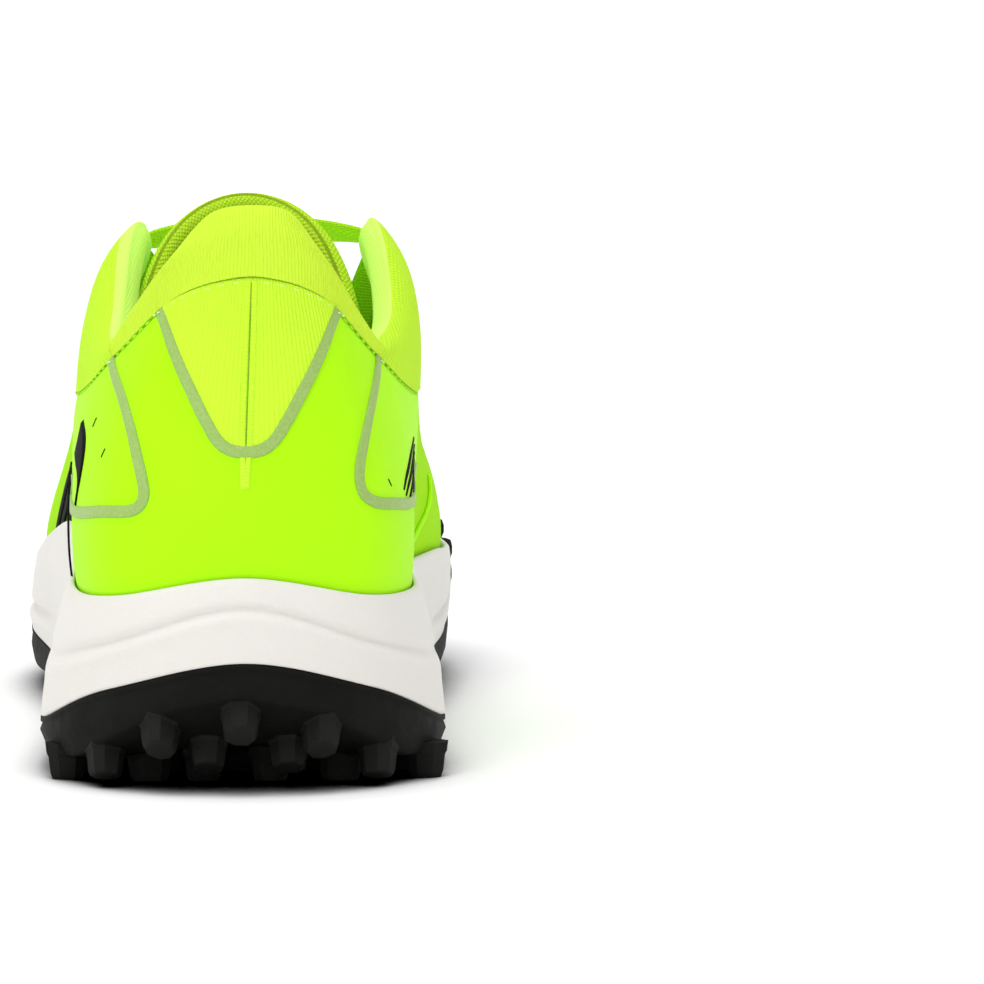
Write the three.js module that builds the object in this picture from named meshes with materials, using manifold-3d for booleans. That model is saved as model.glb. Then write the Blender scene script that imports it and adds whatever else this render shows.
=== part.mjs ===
// Left running shoe: lugged rubber outsole, foam midsole and a padded, knitted and film-covered upper.
// Millimetres, +Z up, toe towards +Y, lateral side towards -X, medial side towards +X.
import * as THREE from 'three';
import { mergeVertices } from 'three/addons/utils/BufferGeometryUtils.js';
import Module from 'manifold-3d';

const wasm = await Module();
wasm.setup();

// ---------------------------------------------------------------- driving dimensions

const FOOTPRINT_MIDDLE = [-5.965, 148.47]; // x and y of the middle of the shoe's box, from the heel's back
const GAP = 0.35; // left between pieces that touch
const SKIN_GAP = 0.8; // between the quarters and what lies on them
const STEPS = 3; // mesh steps from one station to the next
const LUG_DEPTH = 5.5;
const LUG_LENGTH = 10;
const LUG_PITCH = 18; // from one row of lugs to the next, so that the bend falls between two rows
const LUG_START = 8;
const LUG_ROWS = 16;
const OUTSOLE_THICK = 3;
const FLEX_Y = 212; // the ball of the foot, where the sole bends
const FLEX_Z = 26;
const FLEX_WEDGE = 0.62; // slope of the clearance in front of the bend, a little over tan 30 degrees
const SHELL = 1; // thickness of a quarter
const TOP_EDGE = 0.985; // v of the quarters' cut edge at the collar and throat
const RIM_WIDTH = 2.4; // of the midsole's top edge
const INSOLE_SPLIT_Y = 196; // where the insole's loose rear part ends
const TONGUE_SPLIT = 0.7; // share of the tongue that the laces hold down

// The upper's stations run round the foot: 0 is the heel's middle, 4 the lateral lobe, 9 the toe and 14 the
// medial lobe. Each row is the feather edge [x, y], then a low, a high and a top point [x, y, z].
const UPPER = [
  [[-2, 9], [-2, 4, 60], [-1, 8, 91], [0, 4, 122]],
  [[-25, 17], [-28, 13, 60], [-20, 15, 90], [-13, 8, 119]],
  [[-36, 42], [-40, 40, 56], [-34, 38, 82], [-24, 33, 104]],
  [[-38, 82], [-44, 78, 58], [-41, 74, 82], [-31, 70, 100]],
  [[-39, 122], [-46, 116, 56], [-42, 108, 88], [-28, 98, 117]],
  [[-46, 160], [-51, 152, 50], [-40, 140, 76], [-16, 126, 99]],
  [[-53, 196], [-55, 188, 42], [-42, 176, 62], [-12, 156, 85]],
  [[-52, 232], [-52, 226, 41], [-38, 212, 55], [-8, 180, 72]],
  [[-34, 272], [-35, 266, 44], [-24, 240, 55], [-4, 194, 66]],
  [[0, 287], [-1, 282, 47], [0, 252, 57], [1, 197, 65]],
  [[27, 276], [28, 270, 45], [20, 244, 55], [6, 194, 66]],
  [[41, 238], [42, 230, 42], [33, 214, 56], [10, 180, 72]],
  [[42, 200], [43, 193, 44], [36, 178, 64], [14, 156, 85]],
  [[37, 160], [40, 152, 52], [33, 140, 78], [18, 126, 99]],
  [[30, 122], [37, 116, 58], [36, 108, 89], [27, 98, 118]],
  [[30, 82], [36, 78, 58], [36, 74, 82], [30, 70, 100]],
  [[31, 42], [35, 40, 56], [29, 38, 82], [21, 33, 104]],
  [[20, 17], [23, 13, 60], [17, 15, 90], [12, 8, 119]],
];
const COUNT = UPPER.length;
const LATERAL_LOBE = 4;
const TOE = 9;
const MEDIAL_LOBE = 14;

// The sole at the same stations: height of the midsole's rim, of the line where rubber meets foam, and
// how far the widest part stands out from the feather edge.
const SOLE = [
  [45.5, 28, 9], [41, 21.5, 9], [40, 12, 11], [44, 11, 9], [48, 12, 7], [41.5, 13, 7],
  [34.5, 15, 7], [34, 16, 7], [36, 26, 8], [39, 37, 10], [40, 38, 8], [33.5, 28, 5],
  [34.5, 15, 3.5], [37.5, 13, 4], [38, 12, 6], [41, 11, 8], [40, 12, 9.5], [41, 21.5, 8],
];

// How high the collar's edge is at the same stations, as a share of the upper's full height.
// It dips beside the heel tab.
const EDGE = [1, 0.99, 0.84, 0.975, ...Array(11).fill(1), 0.975, 0.84, 0.98];

const GREEN = 0xb8ff1c;
const RIB_GREEN = 0xcbff32;
const PALE_GREEN = 0xb9ff6e;
const OLIVE = 0x9db51e;
const REFLECTIVE = 0xa5c878;
const FOAM = 0xeae6e0;
const RUBBER = 0x1c1d1b;

// ---------------------------------------------------------------- geometry helpers

const shoe = new THREE.Group();

// One closed body: shared points merged, flat triangles dropped, faces turned to point out.
function closed(geometry) {
  geometry.deleteAttribute('normal');
  geometry.deleteAttribute('uv');
  const merged = mergeVertices(geometry, 1e-3);
  const kept = [];
  const index = merged.index.array;
  for (let i = 0; i < index.length; i += 3) {
    const [a, b, c] = index.slice(i, i + 3);
    if (a !== b && b !== c && c !== a) kept.push(a, b, c);
  }
  const flip = volume(merged, kept) < 0;
  for (let i = 0; flip && i < kept.length; i += 3) [kept[i], kept[i + 1]] = [kept[i + 1], kept[i]];
  merged.setIndex(kept);
  return merged;
}

function volume(geometry, index) {
  const p = geometry.attributes.position;
  const [a, b, c] = [new THREE.Vector3(), new THREE.Vector3(), new THREE.Vector3()];
  let sum = 0;
  for (let i = 0; i < index.length; i += 3) {
    [a, b, c].forEach((v, k) => v.fromBufferAttribute(p, index[i + k]));
    sum += a.dot(b.cross(c)) / 6;
  }
  return sum;
}

// Moves every point of a geometry to place(x, y, z).
function moved(geometry, place) {
  const p = geometry.attributes.position;
  for (let i = 0; i < p.count; i += 1) {
    const to = place(p.getX(i), p.getY(i), p.getZ(i));
    p.setXYZ(i, to.x, to.y, to.z);
  }
  return geometry;
}

// A box bent over a surface: place(u, v, w) takes three shares from 0 to 1.
function block(place, across, along, through = 1) {
  const box = new THREE.BoxGeometry(1, 1, 1, across, along, through);
  return closed(moved(box, (x, y, z) => place(x + 0.5, y + 0.5, z + 0.5)));
}

// A lathe whose profile changes on the way round: profile(station) gives its points.
function turned(profile) {
  const rows = COUNT * STEPS;
  const points = profile(0).length;
  const upright = Array.from({ length: points }, (_, i) => new THREE.Vector2(1, i));
  const lathe = new THREE.LatheGeometry(upright, rows);
  const p = lathe.attributes.position;
  for (let row = 0; row <= rows; row += 1) {
    profile((row % rows) / STEPS).forEach((to, i) => p.setXYZ(row * points + i, to.x, to.y, to.z));
  }
  return closed(lathe);
}

function toSolid(geometry) {
  return new wasm.Manifold(new wasm.Mesh({
    numProp: 3,
    vertProperties: new Float32Array(geometry.attributes.position.array),
    triVerts: new Uint32Array(geometry.index.array),
  }));
}

function toGeometry(solid) {
  const mesh = solid.getMesh();
  const geometry = new THREE.BufferGeometry();
  geometry.setAttribute('position', new THREE.BufferAttribute(mesh.vertProperties, 3));
  geometry.setIndex(new THREE.BufferAttribute(mesh.triVerts, 1));
  return geometry;
}

function joined(geometries) {
  return toGeometry(geometries.map(toSolid).reduce((sum, next) => sum.add(next)));
}

function kept(geometry, region) {
  return toGeometry(toSolid(geometry).intersect(toSolid(region)));
}

function cut(geometry, region) {
  return toGeometry(toSolid(geometry).subtract(toSolid(region)));
}

// A prism right across the shoe whose side view is the given [y, z] outline.
function sideRegion(outline) {
  const shape = new THREE.Shape(outline.map(([y, z]) => new THREE.Vector2(y, z)));
  const prism = new THREE.ExtrudeGeometry(shape, { depth: 240, bevelEnabled: false });
  return closed(moved(prism, (x, y, z) => new THREE.Vector3(z - 120, x, y)));
}

function add(name, geometry, color, roughness = 0.8) {
  const mesh = new THREE.Mesh(geometry, new THREE.MeshStandardMaterial({ color, roughness, metalness: 0 }));
  mesh.name = name;
  shoe.add(mesh);
}

// ---------------------------------------------------------------- the shoe's surfaces

const lerp = THREE.MathUtils.lerp;
const smooth = THREE.MathUtils.smoothstep;

// How far the underside rises towards the toe, and at the heel's bevelled back.
const toeSpring = (y) => 16 * Math.max(0, (y - 215) / 83) ** 2;
const heelBevel = (y) => 16 * Math.max(0, (24 - y) / 24) ** 1.6;
const sheetBottom = (y) => LUG_DEPTH + toeSpring(y) + heelBevel(y);
const sheetTop = (y) => sheetBottom(y) + OUTSOLE_THICK - 0.5 * heelBevel(y) / 16;
const footbed = (y) => 29 - 6 * smooth(y, 90, 200) + 0.75 * toeSpring(y);

// A smooth closed curve through one point per station.
function loop(points) {
  const curve = new THREE.CatmullRomCurve3(points, true, 'catmullrom', 0.5);
  return (station) => curve.getPoint(THREE.MathUtils.euclideanModulo(station, COUNT) / COUNT);
}

const rows = [0, 1, 2, 3].map((row) => loop(UPPER.map((station) => {
  const [x, y, z] = station[row];
  return new THREE.Vector3(x, y, z ?? footbed(y) + 1.9);
})));
const soleHeights = loop(SOLE.map(([rim, parting, flare]) => new THREE.Vector3(rim, parting, flare)));

const edgeHeight = loop(EDGE.map((height) => new THREE.Vector3(height, 0, 0)));

// The upper's outside: the share is 0 at the feather edge and 1 at the edge of the collar and throat.
function upperSkin(station, share) {
  const v = share - (1 - edgeHeight(station).x) * smooth(share, 0.6, 1);
  const weights = [
    -4.5 * (v - 1 / 3) * (v - 2 / 3) * (v - 1),
    13.5 * v * (v - 2 / 3) * (v - 1),
    -13.5 * v * (v - 1 / 3) * (v - 1),
    4.5 * v * (v - 1 / 3) * (v - 2 / 3),
  ];
  return rows.reduce((sum, row, i) => sum.addScaledVector(row(station), weights[i]), new THREE.Vector3());
}

// The same surface moved outwards by a distance.
function upper(station, v, out = 0) {
  const step = 0.02;
  const round = upperSkin(station + step, v).sub(upperSkin(station - step, v));
  const up = upperSkin(station, v + step).sub(upperSkin(station, v - step));
  return upperSkin(station, v).addScaledVector(up.cross(round).normalize(), out);
}

// Where the upper reaches a height, as v.
function rise(station, height) {
  let [low, high] = [0, 1];
  for (let i = 0; i < 18; i += 1) {
    const middle = (low + high) / 2;
    if (upperSkin(station, middle).z < height) low = middle;
    else high = middle;
  }
  return low;
}

// A point of the footprint: the feather edge moved outwards, at a height.
function footprint(station, out, z) {
  const point = rows[0](station);
  const along = rows[0](station + 0.05).sub(rows[0](station - 0.05));
  const outwards = new THREE.Vector3(-along.y, along.x, 0).normalize();
  return point.addScaledVector(outwards, out).setZ(z);
}

// A point between the footprint's middle and one of its edge points, at the height that height(y) gives.
function inwards(edge, share, height) {
  const x = lerp(-4, edge.x, share);
  const y = lerp(150, edge.y, share);
  return new THREE.Vector3(x, y, height(y));
}

const rimHeight = (station) => soleHeights(station).x;
const rimInner = (station) => upper(station, rise(station, rimHeight(station)), 0.9);

function rimOuter(station, out = 0) {
  const point = rimInner(station);
  const base = footprint(station, 0, 0);
  const outwards = footprint(station, 1, 0).sub(base);
  return point.addScaledVector(outwards, RIM_WIDTH + out).setZ(rimHeight(station));
}

// ---------------------------------------------------------------- sole

const RINGS = [0, 0.45, 0.78, 0.9];
const TOP_RINGS = [0, 0.5, 0.8];
const WALL = 2.3; // thickness of the rubber that wraps up the foam

// The sole's outer edge at a station: the tread's edge, the rubber's upper edge and the rubber wall's foot.
function soleEdge(station) {
  const [rim, line, flare] = soleHeights(station).toArray();
  const tread = footprint(station, flare - 1.5, 0);
  tread.z = sheetBottom(tread.y);
  const parting = Math.max(line, tread.z + 4);
  const foot = footprint(station, flare - WALL - 0.4, 0);
  foot.z = sheetTop(foot.y);
  return { rim: Math.max(rim, parting + 2.5), flare, tread, parting, foot };
}

const rearRegion = sideRegion([[-40, -20], [FLEX_Y - 0.2, -20], [FLEX_Y - 0.2, 200], [-40, 200]]);
const wedgeTop = FLEX_Y + FLEX_WEDGE * 174;
const frontRegion = sideRegion([
  [FLEX_Y + 0.2, -20], [400, -20], [400, 200], [wedgeTop, 200], [FLEX_Y + 0.2, FLEX_Z],
]);

// Cuts a piece of the sole at the ball of the foot.
function splitAtBall(name, geometry, color, roughness) {
  add(`${name}_rear`, kept(geometry, rearRegion), color, roughness);
  add(`${name}_front`, kept(geometry, frontRegion), color, roughness);
}

function outsoleSheet() {
  return turned((station) => {
    const { flare, tread, parting, foot } = soleEdge(station);
    return [
      ...TOP_RINGS.map((share) => inwards(foot, share, sheetTop)),
      foot,
      footprint(station, flare - WALL, parting),
      footprint(station, flare, parting),
      tread,
      ...RINGS.toReversed().map((share) => inwards(tread, share, sheetBottom)),
    ];
  });
}

// One tread lug: a block that narrows downwards and follows the sheet's slope.
function lug(x, y, width, length) {
  return block((u, v, w) => {
    const taper = lerp(0.78, 1, w);
    const at = new THREE.Vector3(x + (u - 0.5) * width * taper, y + (v - 0.5) * length * taper, 0);
    at.z = lerp(sheetBottom(at.y) - LUG_DEPTH, sheetBottom(at.y) + 1.8, w);
    return at;
  }, 1, 1);
}

// Half of the tread's width at a place along the shoe, on the lateral (-1) or medial (1) side.
function treadEdge(y, side) {
  const stations = side < 0 ? [0, TOE] : [COUNT, TOE];
  let [low, high] = stations;
  for (let i = 0; i < 18; i += 1) {
    const middle = (low + high) / 2;
    if (footprint(middle, 0, 0).y < y) low = middle;
    else high = middle;
  }
  return footprint(low, soleHeights(low).z - 3, 0).x;
}

function lugs() {
  const solids = [];
  for (let row = 0; row < LUG_ROWS; row += 1) {
    const y = LUG_START + row * LUG_PITCH;
    const count = row < 1 ? 3 : 4 + (row % 2);
    const [left, right] = [treadEdge(y, -1), treadEdge(y, 1)];
    const width = (right - left) / (count + 0.35 * (count - 1));
    for (let i = 0; i < count; i += 1) {
      const x = left + width * (0.5 + 1.35 * i);
      solids.push(lug(x, y, width, LUG_LENGTH));
    }
  }
  return solids;
}

// Small grip blocks on the rubber that wraps up the medial side of the toe.
function sideLugs() {
  return [9.6, 10.2, 10.7, 11.1, 11.5].map((station) => {
    const { y: parting, z: flare } = soleHeights(station);
    return block((u, v, w) => footprint(
      station + (u - 0.5) * 0.22,
      flare + lerp(-0.8, 2, w),
      parting - 4 - v * 7,
    ), 1, 1);
  });
}

function makeOutsole() {
  const rubber = joined([outsoleSheet(), ...lugs(), ...sideLugs()]);
  splitAtBall('outsole', rubber, RUBBER, 0.9);
}

// The plate that stiffens the waist, in a pocket between the outsole and the midsole.
function shankShape(grow) {
  return block((u, v, w) => {
    const y = lerp(88 - grow, 168 + grow, v);
    const half = lerp(13, 16, Math.abs(v - 0.5) * 2) + grow;
    const z = sheetTop(y) + lerp(2 * GAP - 4 * grow, 2.2 + grow, w);
    return new THREE.Vector3(-4 + lerp(-half, half, u), y, z);
  }, 2, 6);
}

function makeMidsole() {
  const clear = 1.6 * GAP;
  const body = turned((station) => {
    const { rim, flare, parting, foot } = soleEdge(station);
    const floor = footprint(station, GAP + 1, 0);
    const base = footprint(station, 0, 0);
    return [
      ...TOP_RINGS.map((share) => inwards(foot, share, (y) => sheetTop(y) + clear)),
      footprint(station, flare - WALL - 0.4 - GAP, foot.z + clear + GAP),
      footprint(station, flare - WALL - GAP, parting + GAP),
      footprint(station, flare, parting + GAP),
      footprint(station, lerp(flare, 4, 0.3), lerp(parting, rim, 0.45)),
      rimOuter(station, -0.8).setZ(Math.max(rim - 5, parting + 1.5)),
      rimOuter(station).setZ(rim),
      rimInner(station).setZ(rim),
      floor.setZ(footbed(floor.y)),
      ...TOP_RINGS.toReversed().map((share) => inwards(base, share, footbed)),
    ];
  });
  splitAtBall('midsole', cut(body, shankShape(GAP)), FOAM, 0.85);
  add('shank', shankShape(0), 0x30343a, 0.5);
}

// A flat layer over the footbed, out to a distance from the feather edge, between two heights above it.
function bedLayer(out, first, last) {
  return turned((station) => {
    const base = footprint(station, 0, 0);
    const edge = footprint(station, out, 0);
    const at = (above) => [
      ...TOP_RINGS.map((share) => inwards(base, share, (y) => footbed(y) + above)),
      edge.clone().setZ(footbed(edge.y) + above),
    ];
    return [...at(first), ...at(last).toReversed()];
  });
}

function makeBed() {
  splitAtBall('strobel_board', bedLayer(-0.5, 1.5, GAP), 0xd8d6cc, 0.9);
  const insole = bedLayer(-5, 1.9, 5.9);
  const cut = INSOLE_SPLIT_Y - 0.5;
  const heelPart = sideRegion([[-40, -20], [cut, -20], [cut, 200], [-40, 200]]);
  const middle = sideRegion([
    [INSOLE_SPLIT_Y + 0.5, -20], [FLEX_Y - 0.2, -20], [FLEX_Y - 0.2, 200], [INSOLE_SPLIT_Y + 0.5, 200],
  ]);
  add('insole_heel', kept(insole, heelPart), 0x3c4043);
  add('insole_ball', kept(insole, middle), 0x3c4043);
  add('insole_toe', kept(insole, frontRegion), 0x3c4043);
}

// ---------------------------------------------------------------- upper

// Mesh steps between two stations, and the station at each share of the way.
// All layers step at the same places.
const stepsBetween = (from, to) => Math.ceil(to * STEPS) - Math.floor(from * STEPS);

function stepStation(from, to, share) {
  const station = lerp(Math.floor(from * STEPS), Math.ceil(to * STEPS), share) / STEPS;
  return THREE.MathUtils.clamp(station, from, to);
}

// A patch of the upper between two stations and two heights, from one depth to another.
function patch(from, to, low, high, inner, outer, upSteps) {
  return block((u, v, w) => {
    const station = stepStation(from, to, u);
    return upper(station, lerp(low, high, v), lerp(inner, outer, w));
  }, stepsBetween(from, to), upSteps);
}

function makeShell() {
  const lateral = patch(0.03, 6.28, 0, TOP_EDGE, -SHELL, 0, 6);
  const medial = patch(11.72, 17.97, 0, TOP_EDGE, -SHELL, 0, 6);
  add('quarter_lateral', lateral, GREEN);
  add('quarter_medial', medial, GREEN);
  const front = patch(6.31, 11.69, 0, TOP_EDGE, -SHELL, 0, 6);
  add('vamp', kept(front, rearRegion), GREEN);
  add('toe_box', kept(front, frontRegion), GREEN);
  const [bottom, slack] = [FLEX_Z + 12, 0.6];
  const foreEdge = (z) => FLEX_Y + FLEX_WEDGE * (z - FLEX_Z) - slack;
  const wedge = sideRegion([[FLEX_Y + slack, bottom], [foreEdge(bottom), bottom], [foreEdge(120), 120],
    [FLEX_Y + slack, 120]]);
  add('vamp_flex', kept(front, wedge), GREEN);
}

function makeHeelParts() {
  add('heel_counter', patch(-2.9, 2.9, 0.02, 0.56, -2.4, -1.4, 3), 0xe4e2da, 0.5);
  const collarLow = 0.62;
  add('collar_foam_lateral', patch(0.03, 3.4, collarLow, 0.94, -5.2, -1.8, 3), 0xf2efe6, 0.9);
  add('collar_foam_medial', patch(14.6, 17.97, collarLow, 0.94, -5.2, -1.8, 3), 0xf2efe6, 0.9);
  const lining = block((u, v, w) => {
    const station = stepStation(-3.5, 3.5, u);
    const height = lerp(0.05, 0.965, v);
    const depth = -3 - 3.2 * smooth(height, 0.42, 0.58);
    return upper(station, height, depth - lerp(1, 0, w));
  }, stepsBetween(-3.5, 3.5), 6);
  add('collar_lining', lining, OLIVE, 0.9);
}

// The ribbed V at the heel: its edges run from a low point up to the ends of the tab's seam.
const V_LOW = 0.46;
const V_HIGH = 0.765;
const V_END = 1.12;
const FILM_FRONT = 2.9;
const TAB_END = 1.35;
const vEdge = (v) => V_END * THREE.MathUtils.clamp((v - V_LOW) / (V_HIGH - V_LOW), 0, 1);
// The stitched seam below the tab and the collar, which arches up over the heel.
const seam = (station) => 0.74 + 0.115 * Math.exp(-((station / 1.1) ** 2));

function makeHeelPanel() {
  const panel = block((u, v, w) => {
    const share = lerp(0.1, 0.93, v);
    const end = stepStation(-V_END, V_END, u);
    const height = lerp(V_LOW, seam(end) - 0.012, share);
    return upper(end * share, height, lerp(SKIN_GAP, SKIN_GAP + 0.7, w));
  }, stepsBetween(-V_END, V_END), 5);
  add('heel_rib_panel', panel, RIB_GREEN);
  const tab = block((u, v, w) => {
    const station = stepStation(-TAB_END, TAB_END, u);
    return upper(station, lerp(seam(station), TOP_EDGE, v), lerp(SKIN_GAP, 2.9, w));
  }, stepsBetween(-TAB_END, TAB_END), 3);
  add('heel_tab', tab, RIB_GREEN);
}

// Smooth film over the heel on one side (-1 lateral, 1 medial), from the rim up to the V and the seam.
function heelFilm(side) {
  return block((u, v, w) => {
    let height = V_LOW;
    let station = 0;
    for (let i = 0; i < 6; i += 1) {
      station = -side * lerp(vEdge(height) + 0.06, FILM_FRONT, u);
      height = lerp(rise(station, rimHeight(station) + 1.6), seam(station) - 0.02, v);
    }
    return upper(station, height, lerp(SKIN_GAP, SKIN_GAP + 0.6, w));
  }, 9, 7);
}

// Tape along a route of [station, v] points.
function tape(route, width, low, high, steps) {
  const curve = new THREE.CatmullRomCurve3(route.map(([station, v]) => new THREE.Vector3(station, v, 0)));
  const at = (share) => {
    const { x: station, y: v } = curve.getPoint(THREE.MathUtils.clamp(share, 0, 1));
    return [upper(station, v), upper(station, v, 1)];
  };
  return block((u, v, w) => {
    const [point, above] = at(u);
    const along = at(u + 0.01)[0].sub(at(u - 0.01)[0]).normalize();
    const normal = above.sub(point);
    const side = new THREE.Vector3().crossVectors(normal, along).normalize();
    return point.addScaledVector(side, (v - 0.5) * width).addScaledVector(normal, lerp(low, high, w));
  }, steps, 1);
}

function makeTapes() {
  const vHalf = [[0.2, 0.52], [0.6, 0.635], [1.05, 0.755]];
  const vRoute = [...vHalf.map(([s, v]) => [-s, v]).reverse(), [0, 0.475], ...vHalf];
  add('reflective_v', tape(vRoute, 2.2, 2, 2.6, 16), REFLECTIVE, 0.4);
  const sideRoute = [
    [1.98, 0.715], [1.6, 0.61], [1.12, 0.48], [0.92, 0.37], [1.25, 0.34], [1.9, 0.345], [2.6, 0.355],
  ];
  add('reflective_lateral', tape(sideRoute, 2.2, 1.9, 2.5, 16), REFLECTIVE, 0.4);
  const medialRoute = sideRoute.map(([station, v]) => [-station, v]);
  add('reflective_medial', tape(medialRoute, 2.2, 1.9, 2.5, 16), REFLECTIVE, 0.4);
  const speedLine = [[3.1, 0.3], [3.9, 0.42], [4.6, 0.5], [5.3, 0.62]];
  add('side_band_lateral', tape(speedLine, 7, 1.2, 1.9, 8), RUBBER, 0.5);
  add('side_band_medial', tape(speedLine.map(([s, v]) => [COUNT - s, v]), 7, 1.2, 1.9, 8), RUBBER, 0.5);
}

function makeEyestays() {
  const low = TOP_EDGE * 5 / 6;
  const lateral = patch(LATERAL_LOBE - 0.1, TOE - 0.1, low, TOP_EDGE, SKIN_GAP + 0.6, 2.1, 1);
  const medial = patch(TOE + 0.1, MEDIAL_LOBE + 0.1, low, TOP_EDGE, SKIN_GAP + 0.6, 2.1, 1);
  add('eyestay_lateral', kept(lateral, rearRegion), GREEN, 0.6);
  add('eyestay_medial', kept(medial, rearRegion), GREEN, 0.6);
}

// The padded cover along the collar, above the seam, on one side.
function collarCover(side) {
  const [from, to] = [1.42, LATERAL_LOBE - 0.12];
  return block((u, v, w) => {
    const station = stepStation(from, to, u);
    return upper(-side * station, lerp(seam(station), TOP_EDGE, v), lerp(SKIN_GAP, 2.2, w));
  }, stepsBetween(from, to), 2);
}

// ---------------------------------------------------------------- tongue and lace

const tongueLine = new THREE.CatmullRomCurve3([
  [1, 190, 61], [1, 158, 78], [1, 130, 92], [1, 105, 105], [-2.3, 94, 123.5],
].map(([x, y, z]) => new THREE.Vector3(x, y, z)), false, 'catmullrom', 0.5);
// Half width, droop of the edges and how far they wrap back, from the tongue's lower end to its top.
const tongueSides = new THREE.CatmullRomCurve3([
  [13, 4, 0], [21, 11, 2], [24, 17, 4], [22, 22, 7], [21, 25, 9],
].map(([half, droop, back]) => new THREE.Vector3(half, droop, back)), false, 'catmullrom', 0.5);

function tongueSkin(across, along) {
  const point = tongueLine.getPoint(THREE.MathUtils.clamp(along, 0, 1));
  const { x: half, y: droop, z: back } = tongueSides.getPoint(THREE.MathUtils.clamp(along, 0, 1));
  const arch = 0.6 * across ** 2 + 0.4 * across ** 6;
  return point.add(new THREE.Vector3(half * across, -back * across ** 2, -droop * arch));
}

function tonguePoint(across, along, out) {
  const step = 0.01;
  const inside = THREE.MathUtils.clamp(along, step, 1 - step);
  const sideways = tongueSkin(across + step, inside).sub(tongueSkin(across - step, inside));
  const up = tongueSkin(across, inside + step).sub(tongueSkin(across, inside - step));
  return tongueSkin(across, along).addScaledVector(sideways.cross(up).normalize(), out);
}

function tonguePiece(from, to, inner, outer, edge, steps) {
  return block((u, v, w) => tonguePoint(
    lerp(-edge, edge, u),
    lerp(from, to, v),
    lerp(inner, outer, w),
  ), 8, steps);
}

function makeTongue() {
  const split = TONGUE_SPLIT;
  add('tongue', tonguePiece(0, split - 0.004, -3.2, -1, 1, 5), 0xc4e84a, 0.9);
  add('tongue_top', tonguePiece(split + 0.006, 0.96, -3.2, 0, 1, 4), 0xc4e84a, 0.9);
  add('tongue_binding', tonguePiece(0.97, 1, -3.4, 0.2, 1, 1), 0xb9bdb0, 0.9);
  add('tongue_lining', tonguePiece(0, split - 0.004, 0, 1.2, 1, 5), OLIVE, 0.9);
  add('lace_loop', block((u, v, w) => tonguePoint(
    lerp(-0.28, 0.28, u),
    lerp(0.57, 0.62, v),
    lerp(-4.4, -3.7, w),
  ), 3, 1), GREEN, 0.7);
}

const EYELETS = [4.25, 4.75, 5.3, 5.9, 6.5, 7.2]; // stations of the lateral eyelets, from the top down
const EYELET_V = 0.915;
const LACE_WIDTH = 6;
const LACE_THICK = 1.6;
const LACE_ARCH = 6; // how far the strands bow over the tongue

const eyelet = (row, side, out) => upper(side < 0 ? EYELETS[row] : -EYELETS[row], EYELET_V, out);

// A flat strand of lace arching over the tongue from one point to another, its width along the instep.
function strand(from, to) {
  const up = new THREE.Vector3(0, 0.5, 1).normalize();
  const along = to.clone().sub(from).normalize();
  const across = new THREE.Vector3().crossVectors(up, along).normalize();
  return block((u, v, w) => {
    const share = lerp(-0.03, 1.03, u);
    return from.clone()
      .lerp(to, share)
      .addScaledVector(across, (v - 0.5) * LACE_WIDTH)
      .addScaledVector(up, LACE_ARCH * Math.max(0, 1 - (2 * share - 1) ** 2) + w * LACE_THICK);
  }, 4, 1);
}

function makeLace() {
  const out = 5;
  const last = EYELETS.length - 1;
  const strands = [0, last].map((row) => strand(eyelet(row, -1, out), eyelet(row, 1, out)));
  for (let row = 0; row < last; row += 1) {
    strands.push(strand(eyelet(row, -1, out), eyelet(row + 1, 1, out)));
    strands.push(strand(eyelet(row, 1, out), eyelet(row + 1, -1, out)));
  }
  add('lace', joined(strands), GREEN, 0.9);
  const tail = [[4.3, 0.93], [4.7, 0.9], [5.3, 0.88]];
  const aglet = [[5.36, 0.877], [5.6, 0.87], [5.9, 0.865]];
  const mirrored = (route) => route.map(([station, v]) => [-station, v]);
  add('lace_tail_lateral', tape(tail, 5, -3.6, -2.2, 4), GREEN, 0.9);
  add('lace_tail_medial', tape(mirrored(tail), 5, -3.6, -2.2, 4), GREEN, 0.9);
  add('aglet_lateral', tape(aglet, 2.6, -3.8, -1.8, 3), 0xd6dccb, 0.3);
  add('aglet_medial', tape(mirrored(aglet), 2.6, -3.8, -1.8, 3), 0xd6dccb, 0.3);
}

// ---------------------------------------------------------------- assembly

makeOutsole();
makeMidsole();
makeBed();
makeShell();
makeHeelParts();
makeHeelPanel();
add('heel_film_lateral', heelFilm(-1), GREEN, 0.5);
add('heel_film_medial', heelFilm(1), GREEN, 0.5);
makeTapes();
makeEyestays();
add('collar_cover_lateral', collarCover(-1), PALE_GREEN, 0.6);
add('collar_cover_medial', collarCover(1), PALE_GREEN, 0.6);
makeTongue();
makeLace();

shoe.position.set(-FOOTPRINT_MIDDLE[0], -FOOTPRINT_MIDDLE[1], 0);
export default shoe;
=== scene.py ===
"""The looks of a left running shoe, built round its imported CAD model.

Lengths are in millimetres in the shoe's own space: x is 0 at the heel's middle and grows towards the
medial side, y is 0 at the heel's back edge and grows towards the toe, and z is 0 at the ground. to_row()
turns such points into the frame's.
"""
import math

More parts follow.
